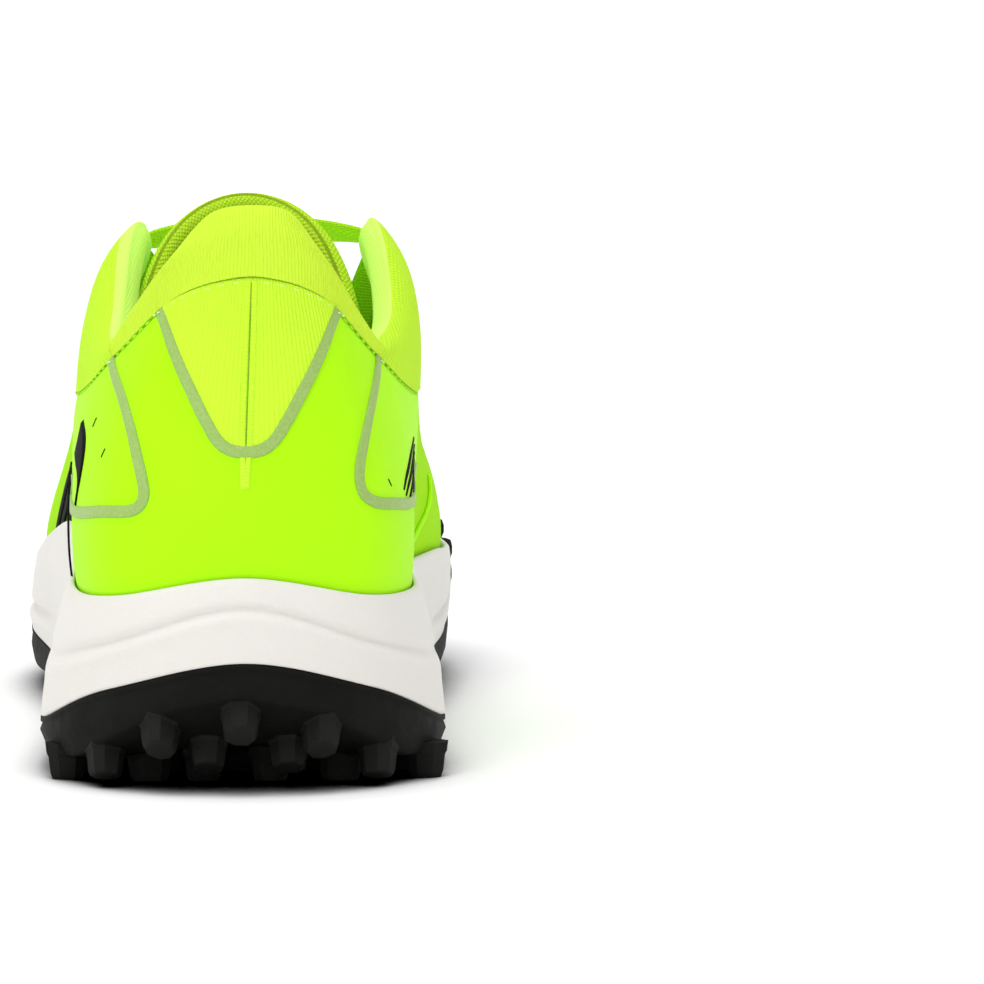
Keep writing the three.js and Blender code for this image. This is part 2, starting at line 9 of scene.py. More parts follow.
import bmesh
import bpy
import numpy as np
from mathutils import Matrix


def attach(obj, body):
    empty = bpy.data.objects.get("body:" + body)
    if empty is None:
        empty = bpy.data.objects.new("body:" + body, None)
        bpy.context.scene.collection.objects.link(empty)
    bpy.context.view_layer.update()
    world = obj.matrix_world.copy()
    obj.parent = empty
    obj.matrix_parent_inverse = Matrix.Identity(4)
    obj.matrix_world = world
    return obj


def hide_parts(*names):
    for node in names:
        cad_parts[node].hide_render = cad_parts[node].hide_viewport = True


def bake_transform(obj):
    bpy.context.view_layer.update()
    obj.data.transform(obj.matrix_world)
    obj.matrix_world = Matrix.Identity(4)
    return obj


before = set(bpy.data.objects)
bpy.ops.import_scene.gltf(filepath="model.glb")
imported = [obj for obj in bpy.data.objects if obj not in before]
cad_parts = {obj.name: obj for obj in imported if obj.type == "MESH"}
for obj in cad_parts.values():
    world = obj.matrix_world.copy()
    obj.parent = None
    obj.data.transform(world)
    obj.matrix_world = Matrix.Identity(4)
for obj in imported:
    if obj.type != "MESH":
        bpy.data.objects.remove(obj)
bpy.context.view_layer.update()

# ---------------- driving dimensions

MIDDLE = np.array([-5.965, 148.47, 0.0])  # the frame's origin in the shoe's own space
LUG_DEPTH = 5.5
OUTSOLE_THICK = 3.0
WALL = 2.3  # rubber over the foam's lower edge
RIM_WIDTH = 1.4  # of the midsole's top edge
HORIZON = 0.3  # the room's brightness level with the floor
CAMERA_PLACE = (18.2, -901.2, 134)  # behind the heel, a little above the collar
CAMERA_TILT, CAMERA_TURN = 4.44, -2  # degrees down, and to the side
CAMERA_LENS = 158.7  # mm, on a sensor 36 mm wide
LATERAL_LOBE, TOE, MEDIAL_LOBE = 4, 9, 14

# The upper's stations run round the foot: 0 is the heel's middle, 4 the lateral lobe, 9 the toe and 14
# the medial lobe. Each row is the feather edge (x, y), then a low, a high and a top point (x, y, z).
UPPER = [
    ((-2, 9), (-2, 4, 60), (-1, 8, 91), (0, 4, 122)),
    ((-25, 17), (-28, 13, 60), (-20, 15, 90), (-13, 8, 119)),
    ((-36, 42), (-39, 40, 56), (-33.5, 38, 82), (-24, 33, 104)),
    ((-38, 82), (-41.5, 78, 58), (-39.6, 74, 82), (-31, 70, 100)),
    ((-39, 122), (-44.5, 116, 56), (-41, 108, 88), (-29.5, 98, 117)),
    ((-46, 160), (-51, 152, 50), (-40, 140, 76), (-16, 126, 99)),
    ((-53, 196), (-55, 188, 42), (-42, 176, 62), (-12, 156, 85)),
    ((-52, 232), (-52, 226, 41), (-38, 212, 55), (-8, 180, 72)),
    ((-34, 272), (-35, 266, 44), (-24, 240, 55), (-4, 194, 66)),
    ((0, 287), (-1, 282, 47), (0, 252, 57), (1, 197, 65)),
    ((27, 276), (28, 270, 45), (20, 244, 55), (6, 194, 66)),
    ((41, 238), (42, 230, 42), (33, 214, 56), (10, 180, 72)),
    ((42, 200), (43, 193, 44), (36, 178, 64), (14, 156, 85)),
    ((37, 160), (40, 152, 52), (33, 140, 78), (18, 126, 99)),
    ((30, 122), (35.5, 116, 58), (35.5, 108, 89), (27, 98, 118)),
    ((30, 82), (33.5, 78, 58), (34.5, 74, 82), (30, 70, 100)),
    ((31, 42), (33, 40, 56), (28.5, 38, 82), (21, 33, 104)),
    ((20, 17), (23, 13, 60), (17, 15, 90), (12, 8, 119)),
]
COUNT = len(UPPER)

# The sole at the same stations: height of the midsole's rim, of the line where rubber meets foam, and how
# far the widest part stands out from the feather edge.
SOLE = [
    (45.5, 28, 9), (41, 21.5, 9), (40, 12, 11), (44, 11, 9), (48, 12, 7), (41.5, 13, 7),
    (34.5, 15, 7), (34, 16, 7), (36, 26, 8), (39, 37, 10), (40, 38, 8), (33.5, 28, 4),
    (34.5, 15, 2.6), (37.5, 13, 3.6), (38, 12, 6), (41, 11, 8), (40, 12, 9.5), (41, 21.5, 8),
]


# ---------------- camera, light and floor

def make_camera():
    camera = bpy.data.objects.new("camera", bpy.data.cameras.new("camera"))
    camera.data.sensor_width = 36
    camera.data.lens = CAMERA_LENS
    camera.data.clip_end = 20
    camera.location = to_row(CAMERA_PLACE)
    camera.rotation_euler = (math.radians(90 - CAMERA_TILT), 0, math.radians(CAMERA_TURN))
    bpy.context.scene.collection.objects.link(camera)
    bpy.context.scene.camera = camera


def to_row(points):
    """Points in the shoe's own space, in mm, as points in the frame, in metres."""
    return (np.asarray(points, float) - MIDDLE) / 1000


def area_light(name, place, target, size, power):
    light = bpy.data.lights.new(name, "AREA")
    light.shape = "DISK"
    light.size = size
    light.energy = power
    thing = bpy.data.objects.new(name, light)
    thing.location = place
    aim = np.array(target, float) - np.array(place, float)
    thing.rotation_euler = (
        math.atan2(math.hypot(aim[0], aim[1]), -aim[2]),
        0,
        math.atan2(-aim[0], aim[1]),
    )
    bpy.context.scene.collection.objects.link(thing)


def make_light():
    """A white room that is dimmer towards the horizon, so the floor darkens under the heel."""
    world = bpy.data.worlds.new("studio")
    world.use_nodes = True
    tree = world.node_tree
    where = tree.nodes.new("ShaderNodeTexCoord")
    height = tree.nodes.new("ShaderNodeSeparateXYZ")
    tree.links.new(where.outputs["Generated"], height.inputs[0])
    tone = tree.nodes.new("ShaderNodeValToRGB")
    tone.color_ramp.elements[0].color = (HORIZON, HORIZON, HORIZON, 1)
    tone.color_ramp.elements[1].position = 0.65
    tree.links.new(height.outputs["Z"], tone.inputs["Fac"])
    tree.links.new(tone.outputs["Color"], tree.nodes["Background"].inputs["Color"])
    tree.nodes["Background"].inputs["Strength"].default_value = 0.98
    bpy.context.scene.world = world
    bpy.context.scene.view_settings.view_transform = "Standard"
    area_light("top_softbox", (-0.15, -0.2, 1.3), (0, 0, 0.05), 1.0, 6)
    area_light("back_softbox", (-0.7, -1.3, 0.8), (0, 0, 0.05), 0.6, 4)


def make_floor():
    """A wide round floor with a low white wall at its edge, which stands for the seamless backdrop. Close
    round the shoe its colour darkens into a painted contact shadow.
    """
    reach, wall, count = 8, 0.5, 72
    angle = np.linspace(0, 2 * math.pi, count, endpoint=False)
    ring = np.stack([reach * np.cos(angle), reach * np.sin(angle), np.zeros(count)], 1)
    mesh = bpy.data.meshes.new("floor")
    sides = [(i, i + count, (i + 1) % count + count, (i + 1) % count) for i in range(count)]
    points = np.concatenate([ring, ring + (0, 0, wall)])
    mesh.from_pydata(points.tolist(), [], [tuple(range(count)), *sides])
    floor = bpy.data.objects.new("floor", mesh)
    bpy.context.scene.collection.objects.link(floor)
    paint = Paint("floor_white")
    height = paint.node("SeparateXYZ", {"Vector": paint.place}).outputs["Z"]
    away = paint.node("VectorMath", {"Vector": paint.place}, operation="LENGTH").outputs["Value"]
    far = paint.node("MapRange", {"Value": away, "From Min": 0.3, "From Max": 1.5}).outputs["Result"]
    # Painted shadow: ambient occlusion darkens the floor's colour where it meets the shoe.
    painted_contact_shadow = paint.node("AmbientOcclusion", {"Distance": 0.022}).outputs["AO"]
    clear = paint.math("MAXIMUM", painted_contact_shadow, far)
    tone = paint.ramp(clear, [(0.27, (0, 0, 0, 1)), (0.66, (0.97, 0.97, 0.97, 1))])
    wall_glow = paint.math("MULTIPLY", paint.math("GREATER_THAN", height, 0.001), 0.8)
    glow = paint.math("ADD", wall_glow, paint.math("MULTIPLY", far, 0.2))
    paint.finish(tone, 1.0, Specular_IOR_Level=0.0, Emission_Color=(1, 1, 1, 1), Emission_Strength=glow)
    mesh.materials.append(paint.material)


# ---------------- materials

class Paint:
    """A procedural material, built one node at a time."""

    def __init__(self, name):
        self.material = bpy.data.materials.new(name)
        self.material.use_nodes = True
        self.tree = self.material.node_tree
        self.surface = self.tree.nodes["Principled BSDF"]
        self.where = self.tree.nodes.new("ShaderNodeTexCoord")
        self.place = self.where.outputs["Object"]
        self.uv = self.where.outputs["UV"]

    def feed(self, socket, value):
        if isinstance(value, bpy.types.NodeSocket):
            self.tree.links.new(value, socket)
        else:
            socket.default_value = value

    def node(self, kind, inputs=None, **settings):
        made = self.tree.nodes.new("ShaderNode" + kind)
        for key, value in settings.items():
            setattr(made, key, value)
        for key, value in (inputs or {}).items():
            self.feed(made.inputs[key], value)
        return made

    def math(self, operation, first, second=0.0):
        made = self.tree.nodes.new("ShaderNodeMath")
        made.operation = operation
        self.feed(made.inputs[0], first)
        self.feed(made.inputs[1], second)
        return made.outputs[0]

    def ramp(self, factor, stops):
        made = self.node("ValToRGB", {"Fac": factor})
        elements = made.color_ramp.elements
        while len(elements) < len(stops):
            elements.new(0.5)
        for element, (position, color) in zip(elements, stops):
            element.position = position
            element.color = color
        return made.outputs["Color"]

    def noise(self, scale, detail=3.0, stretch=(1, 1, 1), where=None):
        mapped = self.node("Mapping", {"Vector": where or self.place, "Scale": stretch})
        return self.node(
            "TexNoise", {"Vector": mapped.outputs["Vector"], "Scale": scale, "Detail": detail},
        ).outputs["Fac"]

    def mix(self, factor, first, second):
        made = self.node("Mix", data_type="RGBA")
        self.feed(made.inputs[0], factor)
        self.feed(made.inputs[6], first)
        self.feed(made.inputs[7], second)
        return made.outputs[2]

    def bump(self, height, distance, before=None):
        made = self.node("Bump", {"Height": height, "Distance": distance, "Strength": 1.0})
        if before is not None:
            self.feed(made.inputs["Normal"], before)
        return made.outputs["Normal"]

    def finish(self, color, roughness, normal=None, **more):
        self.feed(self.surface.inputs["Base Color"], color)
        self.feed(self.surface.inputs["Roughness"], roughness)
        if normal is not None:
            self.feed(self.surface.inputs["Normal"], normal)
        for key, value in more.items():
            self.feed(self.surface.inputs[key.replace("_", " ")], value)
        return self.material


def shade(color, factor):
    return tuple(channel * factor for channel in color[:3]) + (1,)


def weave(across, along=None):
    """A plain weave's height from UVs in millimetres: threads per millimetre across and along."""
    return lambda paint: threads(paint, across, along or across)


def ribs(pitch):
    """Rib ridges running up the piece, from UVs in millimetres."""
    return lambda paint: ridges(paint, pitch)


def threads(paint, across, along):
    split = paint.node("SeparateXYZ", {"Vector": paint.uv})
    turn = 2 * math.pi
    one = paint.math("SINE", paint.math("MULTIPLY", split.outputs["X"], across * turn))
    two = paint.math("SINE", paint.math("MULTIPLY", split.outputs["Y"], along * turn))
    return paint.math("MULTIPLY", one, two)


def ridges(paint, pitch, wobble=0.25):
    split = paint.node("SeparateXYZ", {"Vector": paint.uv})
    drift = paint.math("MULTIPLY", paint.noise(900, 2), wobble)
    across = paint.math("ADD", split.outputs["X"], drift)
    return paint.math("SINE", paint.math("MULTIPLY", across, 2 * math.pi / pitch))


def neon_cloth(name, color, height, distance, roughness=0.8, glow=0.05, painted_hollow_shade=0.8):
    """Fluorescent textile. Its height field also darkens the hollows between threads with painted shade,
    and its emission is a painted glow that keeps the cloth bright in shade.
    """
    paint = Paint(name)
    cloudy = paint.noise(45, 3)
    base = paint.mix(cloudy, shade(color, 0.93), shade(color, 1.04))
    relief = height(paint)
    # Painted shade: the colour darkens in the hollows of the height field.
    deep = paint.math("ADD", paint.math("MULTIPLY", relief, 0.5), 0.5)
    hollow_shaded = paint.mix(deep, shade(color, painted_hollow_shade), base)
    fuzz = paint.bump(paint.noise(2500, 2), 0.00005)
    normal = paint.bump(relief, distance, fuzz)
    # The emission is painted glow: it keeps the cloth bright where it lies in shade.
    return paint.finish(
        hollow_shaded, roughness, normal,
        Specular_IOR_Level=0.06, Emission_Color=color, Emission_Strength=glow,
    )


GREEN = (0.415, 0.89, 0.006, 1)
RIB_GREEN = (0.60, 0.94, 0.04, 1)
TAB_GREEN = (0.62, 0.90, 0.05, 1)
COLLAR_GREEN = (0.55, 0.90, 0.035, 1)
# PALE_GREEN, the collar's inner cloth, is paler partly as its own colour and partly as painted light where
# it faces up.
PALE_GREEN = (0.55, 0.90, 0.13, 1)
OLIVE = (0.36, 0.50, 0.02, 1)
TONGUE_OLIVE = (0.46, 0.66, 0.02, 1)
LACE_GREEN = (0.46, 0.88, 0.02, 1)


def film_material():
    """Smooth fused film: satin, with a faint leathery grain and slow waves, and a faint emission that is
    painted glow.
    """
    paint = Paint("heel_film")
    cloudy = paint.noise(30, 4)
    base = paint.mix(cloudy, shade(GREEN, 0.94), shade(GREEN, 1.05))
    grain = paint.bump(paint.noise(1600, 3), 0.00004)
    waves = paint.bump(paint.noise(60, 2), 0.0004, grain)
    # The emission is painted glow, which keeps the film bright in shade.
    return paint.finish(
        base, 0.55, waves, Specular_IOR_Level=0.06, Emission_Color=GREEN, Emission_Strength=0.05,
    )


def foam_material():
    """Moulded foam: warm white, with a faint skin grain and a slow drift in tone."""
    paint = Paint("midsole_foam")
    cloudy = paint.noise(25, 4)
    base = paint.mix(cloudy, (0.70, 0.675, 0.64, 1), (0.76, 0.735, 0.70, 1))
    cells = paint.node("TexVoronoi", {"Vector": paint.place, "Scale": 1400.0}).outputs["Distance"]
    skin = paint.bump(cells, 0.00006)
    normal = paint.bump(paint.noise(500, 3), 0.00008, skin)
    return paint.finish(base, 0.62, normal)


def rubber_material(name="outsole_rubber", tone=1.0):
    """Moulded outsole rubber: near black, matte, finely grained. The lugs' copy is a little paler, a
    painted highlight for the light on their facets.
    """
    paint = Paint(name)
    dark, pale = shade((0.003, 0.003, 0.003), tone), shade((0.007, 0.007, 0.006), tone)
    base = paint.mix(paint.noise(60, 4), dark, pale)
    fine = paint.bump(paint.noise(3000, 2), 0.00008)
    normal = paint.bump(paint.noise(300, 4), 0.0002, fine)
    rough = paint.math("ADD", paint.math("MULTIPLY", paint.noise(200, 3), 0.25), 0.55)
    return paint.finish(base, rough, normal, Specular_IOR_Level=0.1)


def reflective_material():
    """Reflective tape: grey-green, with paler bead cells painted in as fine glints."""
    paint = Paint("reflective_tape")
    beads = paint.node("TexVoronoi", {"Vector": paint.place, "Scale": 2600.0})
    tones = [(0.3, (0.29, 0.46, 0.10, 1)), (0.9, (0.35, 0.52, 0.16, 1))]
    # Painted glints: some bead cells are paler, for light glittering off the beads.
    painted_glints = paint.ramp(beads.outputs["Color"], tones)
    normal = paint.bump(beads.outputs["Distance"], 0.00005)
    return paint.finish(painted_glints, 0.5, normal, Specular_IOR_Level=0.3)


def plain_material(name, color, roughness, grain=800.0, depth=0.00006, **more):
    """A small part's moulded or coated surface, with fine grain and slow colour drift."""
    paint = Paint(name)
    base = paint.mix(paint.noise(60, 3), shade(color, 0.9), shade(color, 1.06))
    return paint.finish(base, roughness, paint.bump(paint.noise(grain, 3), depth), **more)


# ---------------- the shoe's surfaces

def spline(a, b, c, d, t):
    """The smooth curve between b and c, with the points before and after them."""
    curve = (2 * a - 5 * b + 4 * c - d) * t**2 + (3 * b - a - 3 * c + d) * t**3
    return 0.5 * (2 * b + (c - a) * t + curve)


def around(values, station):
    """A smooth closed curve through one value per station, or per point of any loop."""
    values = np.asarray(values, float)
    station = np.asarray(station, float)
    whole = np.floor(station).astype(int)
    t = (station - whole)[..., None]
    return spline(*(values[(whole + k) % len(values)] for k in (-1, 0, 1, 2)), t)


def smooth(x, low, high):
    t = np.clip((np.asarray(x, float) - low) / (high - low), 0, 1)
    return t * t * (3 - 2 * t)


def toe_spring(y):
    return 16 * np.clip((y - 215) / 83, 0, None) ** 2


def heel_bevel(y):
    return 16 * np.clip((24 - np.asarray(y, float)) / 24, 0, None) ** 1.6


def sheet_bottom(y):
    return LUG_DEPTH + toe_spring(y) + heel_bevel(y)


def sheet_top(y):
    return sheet_bottom(y) + OUTSOLE_THICK


def footbed(y):
    return 29 - 6 * smooth(y, 90, 200) + 0.75 * toe_spring(y)


ROWS = [
    np.array([
        (*station[row], footbed(station[row][1]) + 1.9) if row == 0 else station[row] for station in UPPER
    ], float)
    for row in range(4)
]


def upper_skin(station, v):
    """The upper's outside: v is 0 at the feather edge and 1 at the collar and throat."""
    station, v = np.broadcast_arrays(np.asarray(station, float), np.asarray(v, float))
    weights = (
        -4.5 * (v - 1 / 3) * (v - 2 / 3) * (v - 1),
        13.5 * v * (v - 2 / 3) * (v - 1),
        -13.5 * v * (v - 1 / 3) * (v - 1),
        4.5 * v * (v - 1 / 3) * (v - 2 / 3),
    )
    return sum(around(row, station) * weight[..., None] for row, weight in zip(ROWS, weights))


def unit(vectors):
    return vectors / np.maximum(np.linalg.norm(vectors, axis=-1, keepdims=True), 1e-12)


def upper_normal(station, v):
    step = 0.02
    round_it = upper_skin(station + step, v) - upper_skin(station - step, v)
    up = upper_skin(station, v + step) - upper_skin(station, v - step)
    return unit(np.cross(up, round_it))


def upper(station, v, out=0.0):
    """The upper's surface moved outwards by a distance."""
    station, v, out = np.broadcast_arrays(*(np.asarray(x, float) for x in (station, v, out)))
    return upper_skin(station, v) + upper_normal(station, v) * out[..., None]


def rise(station, height):
    """Where the upper reaches a height, as v."""
    station, height = np.broadcast_arrays(np.asarray(station, float), np.asarray(height, float))
    low, high = np.zeros(station.shape), np.ones(station.shape)
    for _ in range(18):
        middle = (low + high) / 2
        under = upper_skin(station, middle)[..., 2] < height
        low, high = np.where(under, middle, low), np.where(under, high, middle)
    return low


def footprint(station, out, z):
    """A point of the footprint: the feather edge moved outwards, at a height."""
    point = around(ROWS[0], station) + outwards(station) * np.asarray(out, float)[..., None]
    point[..., 2] = z
    return point


def outwards(station):
    """The horizontal direction that points out of the footprint's edge."""
    along = around(ROWS[0], np.asarray(station) + 0.05) - around(ROWS[0], np.asarray(station) - 0.05)
    return unit(np.stack([-along[..., 1], along[..., 0], 0 * along[..., 0]], axis=-1))


def inwards(edge, share, height):
    """A point between the footprint's middle and one of its edge points, at the height height(y)."""
    x = -4 + (edge[..., 0] + 4) * share
    y = 150 + (edge[..., 1] - 150) * share
    return np.stack([x, y, height(y)], axis=-1)


# ---------------- mesh helpers

def piece(name, points, faces, material, slot, nodes=None, body=None, uvs=None, bend=False, crease=None):
    """A smooth mesh piece from points in mm. It rides on a body, or has its transform baked into its
    points. It shows in place of the CAD nodes given, or else of the one with its own name, if there is one."""
    mesh = bpy.data.meshes.new(name)
    mesh.from_pydata(to_row(points).tolist(), [], [tuple(int(i) for i in face) for face in faces])
    if uvs is not None:
        layer = mesh.uv_layers.new(name="UVMap")
        corner = np.zeros(len(mesh.loops), np.int32)
        mesh.loops.foreach_get("vertex_index", corner)
        layer.data.foreach_set("uv", np.asarray(uvs, float)[corner].ravel())
    work = bmesh.new()
    work.from_mesh(mesh)
    bmesh.ops.remove_doubles(work, verts=work.verts, dist=1e-6)
    bmesh.ops.dissolve_degenerate(work, dist=1e-7, edges=work.edges)
    bmesh.ops.recalc_face_normals(work, faces=work.faces)
    if work.calc_volume(signed=True) < 0:
        bmesh.ops.reverse_faces(work, faces=work.faces)
    work.to_mesh(mesh)
    work.free()
    mesh.materials.append(material)
    thing = bpy.data.objects.new(name, mesh)
    bpy.context.scene.collection.objects.link(thing)
    mesh.shade_smooth()
    if crease is not None:
        mesh.set_sharp_from_angle(angle=math.radians(crease))
    if bend:
        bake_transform(thing)
    elif body:
        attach(thing, body)
    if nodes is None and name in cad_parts:
        nodes = [name]
    if nodes:
        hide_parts(*nodes)
    return thing


def grid_faces(rows, columns, closed_rows=False, closed_columns=False):
    """Quads over a grid of points that is stored row by row."""
    down = range(rows if closed_rows else rows - 1)
    over = range(columns if closed_columns else columns - 1)
    return [
        (
            i * columns + j,
            ((i + 1) % rows) * columns + j,
            ((i + 1) % rows) * columns + (j + 1) % columns,
            i * columns + (j + 1) % columns,
        )
        for i in down
        for j in over
    ]


def tube_faces(rows, columns):
    """Faces over loops of points, with both ends closed."""
    last = (rows - 1) * columns
    ends = [tuple(range(columns)), tuple(last + i for i in reversed(range(columns)))]
    return grid_faces(rows, columns, closed_columns=True) + ends


def shifted(faces, start):
    return [tuple(i + start for i in face) for face in faces]


def turned(name, profile, material, steps=14, **options):
    """A closed body whose profile, from axis to axis or round to itself, changes with the station."""
    stations = np.arange(COUNT * steps) / steps
    points = np.stack(profile(stations), axis=1)
    rows, columns = points.shape[:2]
    faces = grid_faces(rows, columns, closed_rows=True)
    lengths = np.linalg.norm(np.diff(points, axis=1, append=points[:, -1:]), axis=2)
    up = np.cumsum(lengths, axis=1).ravel()
    sideways = np.repeat(stations * 36, columns)
    return piece(name, points.reshape(-1, 3), faces, material, uvs=np.stack([sideways, up], 1), **options)


def pillow(name, place, material, size, rows, columns, inner, outer, roll=1.0, **options):
    """A closed sheet over a surface: place(u, v, out) gives points, size its width and height in mm.
    Its edges round off over roll mm, and from edge to edge it is outer - inner thick."""
    u, v = np.meshgrid(np.linspace(0, 1, columns), np.linspace(0, 1, rows))
    u, v = ease(u, size[0], roll), ease(v, size[1], roll)
    edge = np.minimum(np.minimum(u, 1 - u) * size[0], np.minimum(v, 1 - v) * size[1]) / roll
    swell = np.sqrt(1 - (1 - np.clip(edge, 0, 1)) ** 2)
    thick = (outer(u, v) if callable(outer) else outer) - inner
    top = place(u, v, inner + thick * swell)
    bottom = place(u, v, np.full(u.shape, float(inner)))
    count = rows * columns
    faces = grid_faces(rows, columns)
    under = [tuple(i + count for i in reversed(face)) for face in faces]
    points = np.concatenate([top.reshape(-1, 3), bottom.reshape(-1, 3)])
    uvs = np.tile(np.stack([u * size[0], v * size[1]], -1).reshape(-1, 2), (2, 1))
    return piece(name, points, faces + under, material, uvs=uvs, **options)


def ease(share, size, roll):
    """Pulls the outermost grid lines together, so that the rounded edge has points of its own."""
    pull = min(0.45, 2.2 * roll / size)
    wide = share * 2 - 1
    bent = np.sign(wide) * (1 - (1 - np.abs(wide)) ** (1 + 1.2 * pull))
    return np.clip((bent + 1) / 2, 0, 1)


def lofted(name, loops, material, **options):
    """A closed body swept through loops of points, with closed ends."""
    rows, columns = loops.shape[:2]
    along = np.cumsum(np.r_[0, np.linalg.norm(np.diff(loops[:, 0], axis=0), axis=1)])
    girth = np.cumsum(np.linalg.norm(np.diff(loops, axis=1, prepend=loops[:, :1]), axis=2), axis=1)
    uvs = np.stack([np.repeat(along, columns), girth.ravel()], 1)
    return piece(name, loops.reshape(-1, 3), tube_faces(rows, columns), material, uvs=uvs, **options)


def curve_through(points, count):
    """A smooth open curve through given points, at evenly spaced shares."""
    points = np.asarray(points, float)
    padded = np.vstack([2 * points[0] - points[1], points, 2 * points[-1] - points[-2]])
    at = np.linspace(0, len(points) - 1, count)
    whole = np.minimum(at.astype(int), len(points) - 2)
    return spline(*(padded[whole + k] for k in range(4)), (at - whole)[:, None])


def tape(name, route, width, inner, outer, material, count=70, **options):
    """A flat tape on the upper, along a route of (station, v) points."""
    line = curve_through(route, count)

    def spot(at):
        return np.moveaxis(sample(at, np.arange(count), line), -1, 0)

    def place(u, v, out):
        at = u * (count - 1)
        normal = upper_normal(*spot(at))
        side = unit(np.cross(normal, upper_skin(*spot(at + 0.5)) - upper_skin(*spot(at - 0.5))))
        wide = width(u) if callable(width) else width
        return upper_skin(*spot(at)) + side * ((v - 0.5) * wide)[..., None] + normal * out[..., None]

    ends = upper_skin(line[:, 0], line[:, 1])
    length = float(np.linalg.norm(np.diff(ends, axis=0), axis=1).sum())
    across = float(np.max(width(np.linspace(0, 1, 20)))) if callable(width) else width
    return pillow(name, place, material, (length, across), 9, count * 2, inner, outer, 0.25, **options)


def sample(at, along, values):
    """The value at a place along a line of points, or of normals."""
    return np.stack([np.interp(at, along, column) for column in values.T], -1)


def stitches(name, points, normals, material, length=2.2, gap=1.0, radius=0.28, **options):
    """A row of stitches: small rounded threads along a line, half sunk in the cloth."""
    along = np.cumsum(np.r_[0, np.linalg.norm(np.diff(points, axis=0), axis=1)])
    spots = np.arange(gap, along[-1] - length, length + gap)
    sides, rings = 6, 5
    turn = np.linspace(0, 2 * math.pi, sides, endpoint=False)
    all_points, all_faces = [], []
    for spot in spots:
        ends = [sample(at, along, points) for at in (spot, spot + length)]
        normal = unit(sample(spot, along, normals))
        axis = unit(ends[1] - ends[0])
        side = np.cross(normal, axis)
        start = len(all_points) * sides
        for ring in range(rings):
            share = ring / (rings - 1)
            fat = radius * math.sqrt(max(0.05, 1 - (2 * share - 1) ** 2))
            middle = ends[0] + (ends[1] - ends[0]) * share + normal * 0.12 * math.sin(math.pi * share)
            circle = np.cos(turn)[:, None] * side + np.sin(turn)[:, None] * normal
            all_points.append(middle + fat * circle)
        all_faces += shifted(tube_faces(rings, sides), start)
    return piece(name, np.concatenate(all_points), all_faces, material, **options)


# ---------------- sole

def sole_edge(station):
    """The sole's outer edge: the rim's height, the flare, the rubber wall's foot and its top's height."""
    rim, line, flare = np.moveaxis(around(SOLE, station), -1, 0)
    tread = footprint(station, flare - 1.5, 0)
    tread[..., 2] = sheet_bottom(tread[..., 1])
    parting = np.maximum(line, tread[..., 2] + 4)
    return np.maximum(rim, parting + 2.5), flare, tread, parting


def rim_inner(station):
    return upper(station, rise(station, around(SOLE, station)[..., 0]), 0.9)


def rim_outer(station, out):
    return rim_inner(station) + outwards(station) * (RIM_WIDTH + np.asarray(out, float))[..., None]


def at_height(points, z):
    points = points.copy()
    points[..., 2] = z
    return points


def midsole_profile(station):
    """The foam cup: a rim band, a groove below it, a flared body, and the hollow for the foot."""
    rim, flare, tread, parting = sole_edge(station)
    ones = np.ones(station.shape)
    low = footprint(station, flare - WALL - 0.5, 0)
    low[:, 2] = sheet_top(low[:, 1]) + 0.4
    points = [
        *(inwards(low, share, lambda y: sheet_top(y) + 0.4) for share in (0, 0.3, 0.6, 0.8, 0.92)),
        low,
        footprint(station, flare - WALL - 0.4, parting + 0.2),
        footprint(station, flare - 0.5, parting + 0.1),
    ]
    body, top = footprint(station, flare, 0), rim_outer(station, 0 * ones)
    for share in np.linspace(0.01, 0.97, 30):
        relief = outwards(station) * wall_relief(station, share)[:, None]
        wall = body + (top - body) * share**1.15 + relief
        points.append(at_height(wall, parting + (rim - parting) * share))
    for turn in (0.25, 0.5, 0.75, 1.0):
        angle = turn * math.pi / 2
        corner = rim_outer(station, (math.cos(angle) - 1) * ones)
        points.append(at_height(corner, rim - 0.7 + math.sin(angle)))
    inner = rim_inner(station)
    floor = footprint(station, 0.6 * ones, 0)
    floor[:, 2] = footbed(floor[:, 1])
    base = footprint(station, 0 * ones, 0)
    points += [at_height(inner, rim), at_height(inner, rim - 3), floor]
    return points + [inwards(base, share, footbed) for share in (0.92, 0.8, 0.6, 0.3, 0)]


def wall_relief(station, share):
    """How far the midsole's wall stands out at a share of its height: a groove with swollen edges, high up
    at the heel and low down at the forefoot, over a gently bellied body."""
    from_heel = np.minimum(station, COUNT - station)
    heel = 1 - smooth(from_heel, 1.3, 3.0)
    fore = smooth(from_heel, 4.4, 5.3) * (1 - smooth(from_heel, 7.8, 8.6))
    heel_at = 0.66 - 0.16 * smooth(from_heel, 0, 1.2)
    relief = 0.7 * math.sin(math.pi * share)
    for strength, at, depth in ((heel, heel_at, 1.2), (fore, 0.3, 1.5)):
        cut = np.exp(-(((share - at) / 0.05) ** 2))
        swell = np.exp(-(((share - at + 0.13) / 0.08) ** 2))
        relief = relief + strength * (0.5 * swell - depth * cut)
    return relief * np.ones(station.shape)


def make_midsole():
    nodes = ("midsole_rear", "midsole_front")
    turned("midsole", midsole_profile, foam_material(), slot="midsole_foam", nodes=nodes, bend=True)


# The top of the rubber wall, from inside to outside: outwards of the widest part, and above the parting.
RUBBER_LIP = [
    (-WALL, -0.6), (-WALL + 0.4, 0), (-0.4, 0.1), (0.1, -0.2), (0.1, -1.0), (-0.35, -1.3), (-0.1, -2.0),
]


